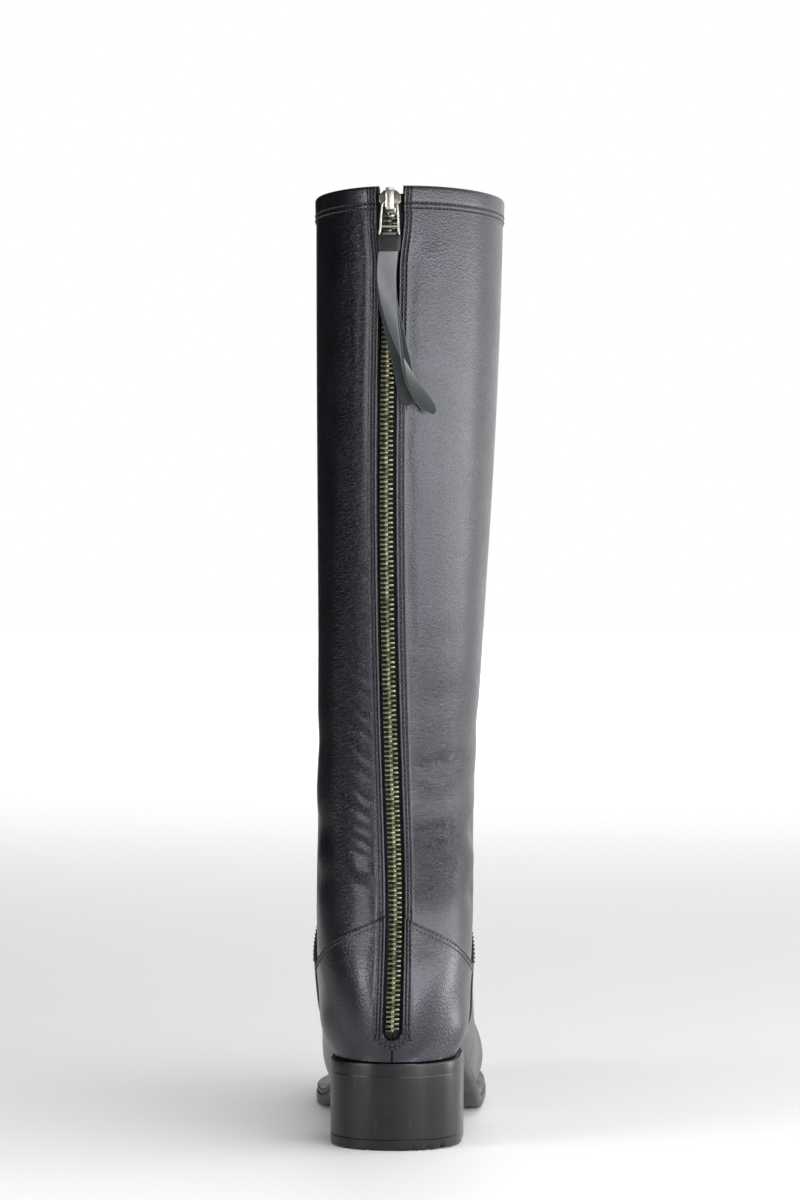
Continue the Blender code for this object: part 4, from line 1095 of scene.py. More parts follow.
# Columns of the upper by their distance from the zip's edge: fine by its grooves, coarse at the front
EDGE_COLUMNS = (
    *(0.0, 0.25, 0.5, 0.75, 1.0, 1.25, 1.5, 1.7, 1.85, 1.95, 2.05, 2.2, 2.45, 2.75, 3.0, 3.2, 3.38),
    *(3.5, 3.62, 3.8, 4.05, 4.4, 4.8, 5.2, 5.6, 6.2, 7.0, 8.0, 9.0),
)
BACK_COLUMNS_END = 80.0
HALF_GIRTH = 170.0
FRONT_SPREAD = 1.15


def upper_columns():
    """Shares round one side of the upper, from the zip's edge to the front."""
    back = np.linspace(EDGE_COLUMNS[-1], BACK_COLUMNS_END, 54)[1:]
    front = np.linspace(0.0, 1.0, 27)[1:] ** FRONT_SPREAD
    front = BACK_COLUMNS_END + (HALF_GIRTH - BACK_COLUMNS_END) * front
    return np.concatenate([EDGE_COLUMNS, back, front]) / HALF_GIRTH


def upper_rows():
    """Sections of the upper's rows: finest round the zip's foot."""
    foot = np.linspace(0.0, 8.0, 17)
    arch = np.linspace(8.0, BREAST_ROW, 7)[1:]
    heel = np.linspace(BREAST_ROW, HEEL_ROW, 30)[1:]
    foot_of_slot = np.linspace(SLOT_FOOT_Z - 1.0, SLOT_ARC_Z + 1.0, 19)
    above = np.linspace(SLOT_ARC_Z + 2.0, COLLAR_Z, 250)
    shaft = np.concatenate([np.linspace(HEEL_SEAT_Z, SLOT_FOOT_Z - 1.5, 6)[1:], foot_of_slot, above])
    return np.concatenate([foot, arch, heel, row_at(shaft)])


def round_trip(t, shares):
    """Points of a whole section from the inner open edge to the outer one, and distances from its ends."""
    inner, inner_length = surface_row(t, -1, shares)
    outer, outer_length = surface_row(t, 1, shares[:-1])
    points = np.concatenate([inner, outer[::-1]])
    away = np.concatenate([shares * inner_length, shares[:-1][::-1] * outer_length])
    return points, away


def make_upper():
    """Shaft, and the foot below its overlays, as one wall with a lining."""
    shares = upper_columns()
    rows = upper_rows()
    sides = np.concatenate([-np.ones(len(shares)), np.ones(len(shares) - 1)])
    grid, away = zip(*(round_trip(t, shares) for t in rows))
    grid, away = np.array(grid), np.array(away)
    normals = grid_normals(grid)
    z = grid[:, :, 2]
    leg = (rows >= HEEL_ROW)[:, None]
    out = np.zeros_like(away)
    wrinkle = np.zeros_like(away)
    for side in (-1, 1):
        half = sides == side
        out[:, half] = folds(side, away[:, half], z[:, half])
        wrinkle[:, half] = wrinkles(side, away[:, half], z[:, half])
    beside = slot_distance(away, z)
    out += placket(beside) * leg
    wrinkle *= ease((away - WRINKLES_START) / WRINKLES_FADE)
    outer = grid + normals * out[:, :, None]
    inner = skip_columns(grid - normals * WALL, INNER_EVERY)
    verts, faces, inner_faces = closed_wall(outer, inner, INNER_EVERY)
    made = leather_piece("upper", verts, faces + inner_faces, [LEATHER, LINING], 60.0)
    second_material(made, slice(len(faces), None))
    flat = np.stack([(away * sides).ravel(), z.ravel()], axis=1)
    # Painted shade beside the zip on the leg, and on the outer side round the ankle
    ankle_shade = ANKLE_PAINTED_SHADE * bell((z - ANKLE_Z) / ANKLE_HIGH) * (sides > 0)
    add_coordinates(made, flat, wrinkle.ravel(), np.maximum(zip_painted_shade(beside) * leg, ankle_shade).ravel())


def edge_row(z):
    """Section that the vamp's back edge has reached at height z."""
    return float(vamp_edge(np.clip(z, VAMP_EDGE[0].z, CORNER_Z)))


def heel_row_end(side, z):
    """The section that meets the zip's slot, or the closed back below it, at height z."""
    low, high = BREAST_ROW, float(row_at(z))
    reach = zip_x(z) + side * slot_half(z)
    for _ in range(HALVINGS):
        middle = (low + high) / 2
        if side * at_height(middle, side, z)[0] > side * reach:
            low = middle
        else:
            high = middle
    return low


# Rows and columns of the counter: heights and shares of its height, fine round the zip's foot, and shares
# from the vamp's edge to the back
COUNTER_HEIGHTS = np.concatenate(
    [np.linspace(37.0, 50.4, 16), np.linspace(50.8, 56.2, 28), np.linspace(57.0, SEAM_Z + 3.0, 54)]
)
COUNTER_CLIMBS = np.concatenate(
    [np.linspace(0.0, 0.125, 12), np.linspace(0.132, 0.24, 26), np.linspace(0.255, 1.0, 46)]
)
COUNTER_SHARES = np.concatenate([np.linspace(0.0, 0.8, 48)[:-1], np.linspace(0.8, 1.0, 56)])


def heel_grid(side):
    """The heel's bare leather on one side: a row for each height, from the vamp's edge to the back."""
    grid = []
    for z in COUNTER_HEIGHTS:
        end = heel_row_end(side, z)
        rows = end - (end - edge_row(z) + COUNTER_UNDER) * (1 - COUNTER_SHARES) ** 2
        points = np.array([at_height(t, side, z) for t in rows])
        if z <= SLOT_FOOT_Z:
            points[-1, 0] = zip_x(z)
        grid.append(points)
    return np.array(grid)


def seam_z(s):
    """Height of the counter's top edge at share s of its way to the back."""
    return CORNER_Z + (SEAM_Z - CORNER_Z) * s**SEAM_SLANT


# Soft hollows and swellings of the heel's leather: where, how large, and how far out
Dent = namedtuple("Dent", "side z away high wide out")
DENTS = (
    Dent(1, 93.0, 12.0, 5.0, 7.0, -0.55),
    Dent(1, 74.0, 14.0, 16.0, 8.0, 0.5),
    Dent(-1, 98.0, 14.0, 6.0, 8.0, -0.4),
    Dent(-1, 72.0, 11.0, 18.0, 6.0, 0.5),
)


def counter_dents(side, away, z):
    """Hollows of the heel's leather, outwards in millimetres."""
    return sum(row.out * faded(row, away, z) for row in on_side(DENTS, side))


# Where the heel's sides are fuller: round a height, from one y to another, and above the sole
SWELL_Z, SWELL_HIGH = 53.0, 10.0
SWELL_START_Y, SWELL_START_RUN = 12.0, 20.0
SWELL_END_Y, SWELL_END_RUN = 105.0, 30.0
SWELL_LOW_Z, SWELL_LOW_RUN = 41.0, 4.0


def heel_swell(points):
    """Fuller leather low on both sides of the heel, outwards in millimetres."""
    y, z = points[..., 1], points[..., 2]
    along = ease((y - SWELL_START_Y) / SWELL_START_RUN) * ease((SWELL_END_Y - y) / SWELL_END_RUN)
    return HEEL_SWELL * bell((z - SWELL_Z) / SWELL_HIGH) * along * ease((z - SWELL_LOW_Z) / SWELL_LOW_RUN)


HEEL_MIDDLE = (0.0, 40.0, 60.0)  # a point inside the heel, which the counter's normals point away from


def counter_half(side):
    """Bare leather below one half of the counter: its grid, distances from the zip and normals."""
    bare = heel_grid(side)
    low = np.array([feather_z(y) for y in bare[0, :, 1]]) + GAP
    top = seam_z(COUNTER_SHARES)
    grid = np.empty((len(COUNTER_CLIMBS), len(COUNTER_SHARES), 3))
    for j in range(len(COUNTER_SHARES)):
        wanted = low[j] + (top[j] - low[j]) * COUNTER_CLIMBS
        grid[:, j] = between(wanted, COUNTER_HEIGHTS, bare[:, j])
        grid[:, j, 2] = np.maximum(wanted, grid[:, j, 2])
    if side > 0:
        grid = grid[:, ::-1]
    away = distances(grid, axis=1)
    if side < 0:
        away = away[:, -1:] - away
    normals = grid_normals(grid)
    return grid, away, normals * np.sign(np.sum(normals * (grid - HEEL_MIDDLE), axis=2, keepdims=True))


RIM_DROP, RIM_ROUND = 0.55, 0.9  # how the counter's top edge is rounded off
BACK_SEAM_WIDE, BACK_SEAM_DEEP, BACK_SEAM_FADE = 0.5, 0.6, 1.5
COUNTER_INSIDE = 0.05
COUNTER_WRINKLES = Patch(0, 95.0, 14.0, 10.0, 10.0, 0.35)  # on both sides


def make_counter():
    """Both halves of the leather round the heel, sewn up the back below the zip."""
    shapes, flats, painted_shades = [], [], []
    for side in (-1, 1):
        grid, away, normals = counter_half(side)
        z = grid[:, :, 2]
        rim = RIM_DROP * (1 - ease((z[-1:] - z) / RIM_ROUND))
        beside = slot_distance(away, z)
        back_seam = bell(away / BACK_SEAM_WIDE) * (1 - ease((z - BACK_SEAM_TOP) / BACK_SEAM_FADE))
        relief = placket(beside) * foot_fade(z) - BACK_SEAM_DEEP * back_seam
        lift = COUNTER_LIFT - rim + counter_dents(side, away, z) + heel_swell(grid) + relief
        outer, inner = grid + normals * lift[:, :, None], grid + normals * COUNTER_INSIDE
        points, outside, inside = closed_wall(outer, inner, 1)
        shapes.append((points, outside + inside))
        flat = np.stack([(side * away).ravel(), z.ravel()], axis=1)
        flats.append(np.concatenate([flat, flat]))
        # Painted shade beside the zip and in the back seam's groove
        painted_shade = np.clip(zip_painted_shade(beside) + back_seam, 0.0, 1.0).ravel()
        painted_shades.append(np.concatenate([painted_shade, painted_shade]))
    made = leather_piece("counter", *joined(shapes), [LEATHER], 50.0)
    flats = np.concatenate(flats)
    wrinkle = COUNTER_WRINKLES.strength * faded(COUNTER_WRINKLES, np.abs(flats[:, 0]), flats[:, 1])
    add_coordinates(made, flats, wrinkle, np.concatenate(painted_shades))


def above_sole(t, v):
    """Share v moved up a little near the open edge, so that the vamp starts above the sole."""
    start = SKIN_START + (TOE_SKIN_START - SKIN_START) * ease(TOE_END_ROW - t)
    return v + start * (1 - v) ** SKIN_FADE


def vamp_end(side, v):
    """Section where the vamp ends at share v: along its back edge, then forward to the ridge."""
    corner_row = VAMP_EDGE[-1].row
    shares = np.linspace(0.0, 1.0, 101)
    corner = np.interp(CORNER_Z, surface_row(corner_row, side, shares)[0][:, 2], shares)
    if v > corner:
        return corner_row + (VAMP_FRONT_ROW - corner_row) * ease((v - corner) / (1 - corner))
    end = corner_row
    for _ in range(EDGE_TRIES):
        end = edge_row(surface_row(end, side, [above_sole(end, v)])[0][0][2])
    return end


# Columns of the vamp, from the sole to the ridge, and its rows, from the toe to its back edge
VAMP_SHARES = np.concatenate([np.linspace(0.0, 0.12, 7)[:-1], np.linspace(0.12, 1.0, 44)])
VAMP_PROGRESS = np.concatenate(
    [np.linspace(0.0, 0.35, 34)[:-1], np.linspace(0.35, 0.97, 46)[:-1], np.linspace(0.97, 1.0, 8)]
)
VAMP_START_ROW = 0.12


def vamp_grid():
    """Bare leather below the vamp, row by row to its slanting back edge."""
    fine = np.linspace(VAMP_START_ROW, BREAST_ROW, 190)
    halves = []
    for side in (-1, 1):
        dense = np.array([surface_row(t, side, above_sole(t, VAMP_SHARES))[0] for t in fine])
        columns = []
        for j, share in enumerate(VAMP_SHARES):
            wanted = fine[0] + (vamp_end(side, share) - fine[0]) * VAMP_PROGRESS
            columns.append(between(wanted, fine, dense[:, j]))
        halves.append(np.stack(columns, axis=1))
    return np.concatenate([halves[0], halves[1][:, :-1][:, ::-1]], axis=1)


# Flex creases over the ball of the foot, bowed across it and leaning with its height
Flex = namedtuple("Flex", "y deep wide")
FLEXES = (Flex(196.0, 0.9, 4.5), Flex(183.0, 0.7, 4.0), Flex(171.0, 0.6, 4.0), Flex(160.0, 0.4, 4.5))
FLEX_RIDGE, FLEX_SPREAD = 0.5, 2.3
FLEX_BOW, FLEX_MIDDLE_X = 0.006, -4.0
FLEX_LEAN, FLEX_MIDDLE_Z = 0.25, 50.0
FLEX_LOW_Z, FLEX_FADE = 24.0, 14.0


def vamp_creases(grid):
    """The flex creases, outwards in millimetres."""
    x, y, z = np.moveaxis(grid, 2, 0)
    out = np.zeros_like(y)
    for row in FLEXES:
        bowed = row.y - FLEX_BOW * np.square(x - FLEX_MIDDLE_X) + FLEX_LEAN * (z - FLEX_MIDDLE_Z)
        out -= row.deep * trough((y - bowed) / row.wide, FLEX_RIDGE, FLEX_SPREAD)
    return out * ease((z - FLEX_LOW_Z) / FLEX_FADE)


VAMP_EDGE_ROUND = (0.03, 0.12, 0.35)  # how far its last rows drop to the back edge
VAMP_EDGE_FADE, VAMP_CORNER_FADE = 0.4, 3.0
VAMP_INSIDE = 0.1
VAMP_WRINKLES, BEND_Y, BEND_LONG = 0.3, 180.0, 26.0


def make_vamp():
    """Front of the foot, its thick back edge proud of the counter."""
    grid = vamp_grid()
    normals = grid_normals(grid)
    lift = VAMP_LIFT + vamp_creases(grid) + heel_swell(grid)
    lift[-len(VAMP_EDGE_ROUND) :] -= np.array(VAMP_EDGE_ROUND)[:, None]
    outer = grid + normals * lift[:, :, None]
    inner = grid + normals * VAMP_INSIDE
    for face in (outer, inner):
        floor = np.vectorize(feather_z)(face[:, :, 1]) + GAP
        face[:, :, 2] = np.maximum(face[:, :, 2], floor)
    verts, faces, inner_faces = closed_wall(outer, skip_columns(inner, INNER_EVERY), INNER_EVERY)
    made = leather_piece("vamp", verts, faces + inner_faces, [LEATHER, CUT_EDGE], 50.0)
    second_material(made, slice((outer.shape[0] - 1) * (outer.shape[1] - 1), None))
    flat = outer[:, :, :2].reshape(-1, 2)
    bend = VAMP_WRINKLES * bell((outer[:, :, 1] - BEND_Y) / BEND_LONG)
    # Painted shade: the vamp's face loses its gloss close to its upright back edge, so that edge reads as a
    # dark line
    to_edge = distances(outer[::-1])[::-1]
    upright = 1 - ease((outer[:, :, 2] - CORNER_Z) / VAMP_CORNER_FADE)
    dark = (1 - ease((to_edge - EDGE_SHADE_WIDE) / VAMP_EDGE_FADE)) * upright
    add_coordinates(made, flat, bend.ravel(), dark.ravel())


# Cross-section of the collar band: depth below the collar's edge, and out from the leather's face
BandPoint = namedtuple("BandPoint", "depth out")
BAND = (
    BandPoint(10.9, 0.05),
    BandPoint(10.9, 0.18),
    BandPoint(10.6, 0.28),
    BandPoint(10.1, 0.32),
    BandPoint(9.75, 0.2),
    BandPoint(9.5, 0.1),
    BandPoint(9.25, 0.2),
    BandPoint(8.8, 0.34),
    BandPoint(7.9, 0.35),
    BandPoint(7.45, 0.22),
    BandPoint(7.2, 0.12),
    BandPoint(6.95, 0.22),
    BandPoint(6.5, 0.36),
    BandPoint(5.0, 0.4),
    BandPoint(3.0, 0.46),
    BandPoint(1.0, 0.5),
    BandPoint(0.1, 0.42),
    BandPoint(-0.4, 0.1),
    BandPoint(-0.6, -0.6),
    BandPoint(-0.6, -1.4),
    BandPoint(-0.2, -2.1),
    BandPoint(0.8, -2.6),
    BandPoint(4.0, -2.7),
    BandPoint(9.5, -2.7),
    BandPoint(9.6, -2.0),
    BandPoint(5.0, -1.7),
    BandPoint(5.0, 0.05),
)
BAND_FACE = 17  # so many of its points lie on its outer face
BAND_OUT = 0.36
BAND_GROOVE_OUT = 0.12


RIM_STEP = 0.3  # sections below the collar's edge, for its slope
Rim = namedtuple("Rim", "top normals down away")


def collar_rim():
    """Points of the collar's edge from the inner slot edge to the outer one: outward, down, distance."""
    rows = (COLLAR_ROW - RIM_STEP, COLLAR_ROW)
    (low, _), (top, away) = (round_trip(t, upper_columns()) for t in rows)
    normals = grid_normals(np.array([low, top]))[1]
    down = low - top
    return Rim(top, normals, down / np.abs(down[:, 2:3]), away)


def band_spot(rim, depth, out):
    """Points of the band at a depth below the collar's edge, out from the leather."""
    return rim.top + rim.down * depth + rim.normals * np.broadcast_to(out, len(rim.top))[:, None]


BAND_GROOVE_WIDE, BAND_GROOVE_FADE = 0.3, 0.6


def make_collar_band():
    """Band folded over the collar, with two sewn grooves and the zip's placket carried over it."""
    rim = collar_rim()
    relief = placket(rim.away)
    past_placket = ease((rim.away - PLACKET_END) / BAND_GROOVE_FADE)
    rings, painted_shade = [], []
    for k, point in enumerate(BAND):
        face = 1.0 if k < BAND_FACE else 0.0
        rings.append(band_spot(rim, point.depth, point.out + relief * face))
        # Painted shade in the band's two sewn grooves and beside the zip
        groove = sum(bell((point.depth - row) / BAND_GROOVE_WIDE) for row in COLLAR_STITCHES) * past_placket
        painted_shade.append(np.clip(zip_painted_shade(rim.away) + groove, 0.0, 1.0) * face)
    rings, painted_shade = np.stack(rings, axis=1), np.stack(painted_shade, axis=1)
    made = ringed_piece("collar_band", rings, [LEATHER], "boot", "upper_leather", 60.0)
    flat = np.stack([np.repeat(rim.away, len(BAND)), rings[:, :, 2].ravel()], axis=1)
    add_coordinates(made, flat, np.zeros(len(flat)), painted_shade.ravel())


# Stitches


def stitch_row(path, normals):
    """(places, frames) of stitches at even steps along a path on the leather."""
    steps = distances(path)
    count = max(int(steps[-1] / STITCH_PITCH), 1)
    at = (np.arange(count) + 0.5) * steps[-1] / count
    along = between(at + STITCH_LOOK, steps, path) - between(at - STITCH_LOOK, steps, path)
    along /= np.linalg.norm(along, axis=1, keepdims=True)
    up = between(at, steps, normals)
    up -= along * np.sum(along * up, axis=1, keepdims=True)
    up /= np.linalg.norm(up, axis=1, keepdims=True)
    return between(at, steps, path), np.stack([along, np.cross(up, along), up], axis=1)


# Half a stitch from its middle: share of half its length, height, and share of the thread's thickness
StitchRing = namedtuple("StitchRing", "along up thick")
HALF_STITCH = (StitchRing(0.3, 0.2, 1.0), StitchRing(0.8, 0.0, 0.8), StitchRing(1.0, -0.35, 0.2))


def stitch_shape():
    """One stitch: a short thread that dips into the leather at both ends."""
    half = STITCH_PITCH * STITCH_LENGTH
    rings = [row._replace(along=-row.along) for row in reversed(HALF_STITCH)] + list(HALF_STITCH)
    points = []
    for row in rings:
        radius = THREAD * row.thick
        for angle in np.linspace(0, 2 * math.pi, THREAD_SIDES + 1)[:-1]:
            points.append((row.along * half, math.cos(angle) * radius, row.up + math.sin(angle) * radius))
    return np.array(points), loft_faces(len(rings), THREAD_SIDES)


def make_stitches(name, paths):
    """One piece of all the stitches along some paths."""
    places, frames = zip(*(stitch_row(path, normals) for path, normals in paths))
    verts, faces = many(*stitch_shape(), np.concatenate(places), np.concatenate(frames))
    new_piece(name, verts, faces, [THREAD_BLACK], "boot", "upper_leather")


# Where the zip's stitches step down off the counter, and up onto the collar band
OFF_COUNTER_Z, OFF_COUNTER_RUN = SEAM_Z - 0.5, 1.5
ON_BAND_Z, ON_BAND_RUN = COLLAR_Z - 11.5, 1.2
ZIP_STITCHES_TOP = COLLAR_Z - 0.8


def zip_stitch_paths():
    """Two rows down one side of the zip, round its foot and up the other side."""
    paths = []
    heights = np.linspace(SLOT_ARC_Z, ZIP_STITCHES_TOP, 380)
    turns = np.linspace(math.pi, 2 * math.pi, 40)[1:-1]
    for away in ZIP_STITCHES:
        reach = SLOT_HALF + away
        left = [(-max(float(slot_half(z)), SLOT_HALF) - away, z) for z in heights[::-1]]
        foot = [(reach * math.cos(turn), SLOT_ARC_Z + reach * math.sin(turn)) for turn in turns]
        path, normals = [], []
        for x, z in left + foot + [(-x, z) for x, z in reversed(left)]:
            on_counter = 1 - ease((z - OFF_COUNTER_Z) / OFF_COUNTER_RUN)
            on_band = ease((z - ON_BAND_Z) / ON_BAND_RUN)
            lift = COUNTER_LIFT * on_counter + BAND_OUT * on_band + placket(away) * float(foot_fade(z))
            point, normal = skin(float(row_at(z)), x, lift)
            path.append(point)
            normals.append(normal)
        paths.append((np.array(path), np.array(normals)))
    return paths


def collar_stitch_paths():
    """Two rows round the collar band, from one side of the zip to the other."""
    rim = collar_rim()
    keep = rim.away > PLACKET_END
    return [(band_spot(rim, depth, BAND_GROOVE_OUT)[keep], rim.normals[keep]) for depth in COLLAR_STITCHES]


SEAM_STITCHES_START = ZIP_STITCHES[1] + 0.8  # distance from the zip
SEAM_STITCHES_SUNK = 0.02


def counter_stitch_paths():
    """Two rows below the counter's slanting top edge, on each side."""
    paths = []
    for side in (-1, 1):
        grid, away, normals = counter_half(side)
        drop = grid[-1:, :, 2] - grid[:, :, 2]
        lift = COUNTER_LIFT + counter_dents(side, away, grid[:, :, 2]) - SEAM_STITCHES_SUNK
        face = grid + normals * lift[:, :, None]
        keep = away[-1] > SEAM_STITCHES_START
        columns = np.arange(grid.shape[1])
        for depth in SEAM_STITCHES:
            row = np.argmin(np.abs(drop - depth), axis=0)
            path = np.array([between(-depth, -drop[:, j], face[:, j]) for j in columns])
            paths.append((path[keep], normals[row, columns][keep]))
    return paths


FLAT_ROW = -len(VAMP_EDGE_ROUND) - 1  # the vamp's last row before its rounded edge


def vamp_stitch_paths():
    """Two rows along the vamp's top edge, over the ridge from one side to the other."""
    grid = vamp_grid()
    normals = grid_normals(grid)
    face = (grid + normals * VAMP_LIFT)[::-1]
    run = distances(face)
    paths = []
    for depth in EDGE_STITCHES:
        path = np.array([between(depth, run[:, j], face[:, j]) for j in range(face.shape[1])])
        keep = path[:, 2] > CORNER_Z
        paths.append((path[keep], normals[FLAT_ROW][keep]))
    return paths


# Zip


def block_shape(size, bevel, segments=2):
    """Points and faces of a box with rounded edges, centred."""
    shape = bmesh.new()
    bmesh.ops.create_cube(shape, size=1.0)
    for vert in shape.verts:
        vert.co = [c * s for c, s in zip(vert.co, size)]
    rounding = {"segments": segments, "profile": 0.5, "affect": "EDGES", "clamp_overlap": True}
    bmesh.ops.bevel(shape, geom=list(shape.edges), offset=bevel, **rounding)
    points = np.array([vert.co for vert in shape.verts])
    faces = [tuple(vert.index for vert in face.verts) for face in shape.faces]
    shape.free()
    return points, faces


def tooth_shape():
    """One tooth that reaches from its tape past the middle: x across, y up, z out. Its head is thicker."""
    width = TOOTH_REACH + TOOTH_OVER
    points, faces = block_shape((width, TOOTH_HIGH, TOOTH_FRONT - TOOTH_BACK), TOOTH_BEVEL)
    across = (points[:, 0] + width / 2) / width
    head = TOOTH_HEAD * bell((across - HEAD_AT) / HEAD_WIDE)
    points[:, 1] *= 1.0 + head - TOOTH_WAIST * bell((across - WAIST_AT) / WAIST_WIDE)
    points[:, 2] *= 1.0 - TOOTH_TAPER * across
    points[:, 0] += width / 2 - TOOTH_OVER
    points[:, 2] += (TOOTH_FRONT + TOOTH_BACK) / 2
    return points, faces


def make_teeth():
    """Two rows of closed teeth, half a pitch apart, up to the slider."""
    tooth = tooth_shape()
    rows = []
    for side, first in ((-1, 0.0), (1, 0.5)):
        heights = np.arange(TOOTH_FOOT_Z + first * TOOTH_PITCH, SLIDER_Z - TEETH_STOP, TOOTH_PITCH)
        frames, places = [], []
        for z in heights:
            foot, outward, climb = zip_frame(z)
            places.append(foot)
            frames.append(np.array([[side, 0.0, 0.0], climb, outward]))
        rows.append(many(*tooth, np.array(places), np.array(frames)))
    new_piece("zip_teeth", *joined(rows), [BRASS], "boot", "zip_teeth", ["zip_chain"])


def zip_shape(points, z):
    """Points given as x, up and out on the zip's line at height z."""
    foot, outward, climb = zip_frame(z)
    points = np.asarray(points, float)
    return foot + points[:, :1] * (1.0, 0.0, 0.0) + points[:, 1:2] * climb + points[:, 2:3] * outward


QUARTERS = ((1, 1), (-1, 1), (-1, -1), (1, -1))  # signs of the corners, going round
PLATE_TURNS = (0.0, 0.12, 1.45, math.pi / 2)  # angles round a plate's corner, which is cut off straight
Plate = namedtuple("Plate", "half_width half_height corner out thick bevel rise")
SLIDER_PLATES = (
    Plate(5.1, 3.8, 2.6, 0.0, 1.3, 0.55, 0.6),
    Plate(4.5, 3.6, 2.2, -5.9, 1.0, 0.3, 0.6),
    Plate(1.3, 1.8, 0.6, -5.2, 5.6, 0.15, 1.8),
    Plate(1.9, 1.6, 0.5, 0.0, 1.2, 0.3, -4.4),
)


def rounded_plate(plate):
    """A plate with cut corners and eased edges, as rings from back to front: x, up, out."""
    soft = plate.bevel * 0.3
    eased = ((0.0, plate.bevel), (soft, soft), (plate.bevel, 0.0))
    rings = []
    for depth, inset in eased + tuple((plate.thick - depth, inset) for depth, inset in reversed(eased)):
        radius = plate.corner - inset
        for quarter, (cx, cy) in enumerate(QUARTERS):
            for turn in PLATE_TURNS:
                angle = turn + quarter * math.pi / 2
                x = cx * (plate.half_width - plate.corner) + radius * math.cos(angle)
                up = cy * (plate.half_height - plate.corner) + radius * math.sin(angle)
                rings.append((x, up + plate.rise, plate.out + depth))
    return np.array(rings), loft_faces(2 * len(eased), len(QUARTERS) * len(PLATE_TURNS))


# The slider's bridge: its line from top to bottom, as up and out, and its cross-section, as x and thickness
BRIDGE_LINE = (
    *((4.6, 0.5), (5.1, 1.6), (5.0, 2.8), (4.2, 3.6), (2.0, 3.95)),
    *((-1.0, 4.0), (-3.6, 3.8), (-4.5, 3.0), (-4.9, 1.8), (-4.9, 0.7)),
)
BRIDGE_PROFILE = (
    *((-1.85, -0.25), (-1.65, -0.45), (1.65, -0.45), (1.85, -0.25), (1.85, 0.2)),
    *((1.55, 0.42), (0.0, 0.55), (-1.55, 0.42), (-1.85, 0.2)),
)


def bridge_shape():
    """The arched strap on the slider's front, rounded at its edges: x, up, out."""
    steps = len(BRIDGE_LINE) - 1
    line = natural_spline(range(steps + 1), BRIDGE_LINE)(np.linspace(0, steps, 40))
    run = np.gradient(line, axis=0)
    run /= np.linalg.norm(run, axis=1, keepdims=True)
    normal = np.stack([-run[:, 1], run[:, 0]], axis=1)
    points = []
    for spot, way in zip(line, normal):
        for x, thick in BRIDGE_PROFILE:
            points.append((x, spot[0] - way[0] * thick, spot[1] - way[1] * thick))
    return np.array(points), loft_faces(len(line), len(BRIDGE_PROFILE))


def make_slider():
    """Plates, neck and foot of the slider, with its bridge in brighter metal."""
    bridge = bridge_shape()
    parts = [rounded_plate(plate) for plate in SLIDER_PLATES] + [bridge]
    verts, faces = joined((zip_shape(points, SLIDER_MIDDLE_Z), each) for points, each in parts)
    made = new_piece("zip_slider", verts, faces, [NICKEL, STEEL], "boot", "zip_hardware", ["zip_slider"])
    second_material(made, slice(-len(bridge[1]), None))


# Pull


WIRE_SIDES = 10
WIRE_TIGHT = 0.3  # how far the wire's bends reach
CROSSBAR_RADIUS = 0.48


def wire(points, radius, closed):
    """Points and faces of a round wire."""
    points = np.asarray(points)
    count = len(points)
    turns = np.linspace(0, 2 * math.pi, WIRE_SIDES + 1)[:-1, None]
    rings = []
    for i in range(count):
        ahead = points[(i + 1) % count] if closed or i + 1 < count else points[i]
        behind = points[i - 1] if closed or i > 0 else points[i]
        run = (ahead - behind) / np.linalg.norm(ahead - behind)
        side = np.cross(run, (0.0, 1.0, 0.0))
        side /= np.linalg.norm(side)
        rings.append(points[i] + radius * (np.cos(turns) * side + np.sin(turns) * np.cross(side, run)))
    return np.concatenate(rings), loft_faces(count, WIRE_SIDES, looped=closed)


def make_pull_loop():
    """Bent wire with a crossbar above the strap."""
    half = [(r.half_width, r.drop, r.out) for r in LOOP]
    corners = np.array(half + [(-x, drop, out) for x, drop, out in reversed(half)])
    smooth = []
    for i, here in enumerate(corners):
        after, later = corners[(i + 1) % len(corners)], corners[(i + 2) % len(corners)]
        leave, arrive = WIRE_TIGHT * (after - corners[i - 1]), WIRE_TIGHT * (later - here)
        for s in np.linspace(0, 1, 7)[:-1]:
            start = (2 * s**3 - 3 * s**2 + 1) * here + (s**3 - 2 * s**2 + s) * leave
            smooth.append(start + (3 * s**2 - 2 * s**3) * after + (s**3 - s**2) * arrive)
    ring = wire([hang(x, drop, PIVOT_OUT + out) for x, drop, out in smooth], WIRE_RADIUS, True)
    spots = np.linspace(-CROSSBAR.half_width, CROSSBAR.half_width, 8)
    bar = wire([hang(x, CROSSBAR.drop, PIVOT_OUT + CROSSBAR.out) for x in spots], CROSSBAR_RADIUS, False)
    new_piece("pull_loop", *joined((ring, bar)), [STEEL], "pull", "zip_hardware", ["pull_loop"])


# Cross-section of the strap: shares of half its width and half its thickness, and the smooth side's faces
STRAP_EDGE = (
    *((-1.0, -0.5), (-1.0, 0.5), (-0.97, 0.85), (-0.92, 1.0), (0.0, 1.06), (0.92, 1.0), (0.97, 0.85)),
    *((1.0, 0.5), (1.0, -0.5), (0.97, -0.9), (0.92, -1.0), (0.0, -1.0), (-0.92, -1.0), (-0.97, -0.9)),
)
STRAP_SMOOTH = range(1, 7)
STRAP_ROUND = 6.5  # length of a tail's round end
STRAP_TIP = 0.02


def strap_width(drop, end):
    """Narrow in the keeper, full below, and a round end."""
    width = STRAP_NECK + (STRAP_WIDTH - STRAP_NECK) * ease((drop - STRAP_FLARE_DROP) / STRAP_FLARE)
    left = np.clip((end - drop) / STRAP_ROUND, 0.0, 1.0)
    return width * np.sqrt(np.maximum(left * (2 - left), STRAP_TIP))


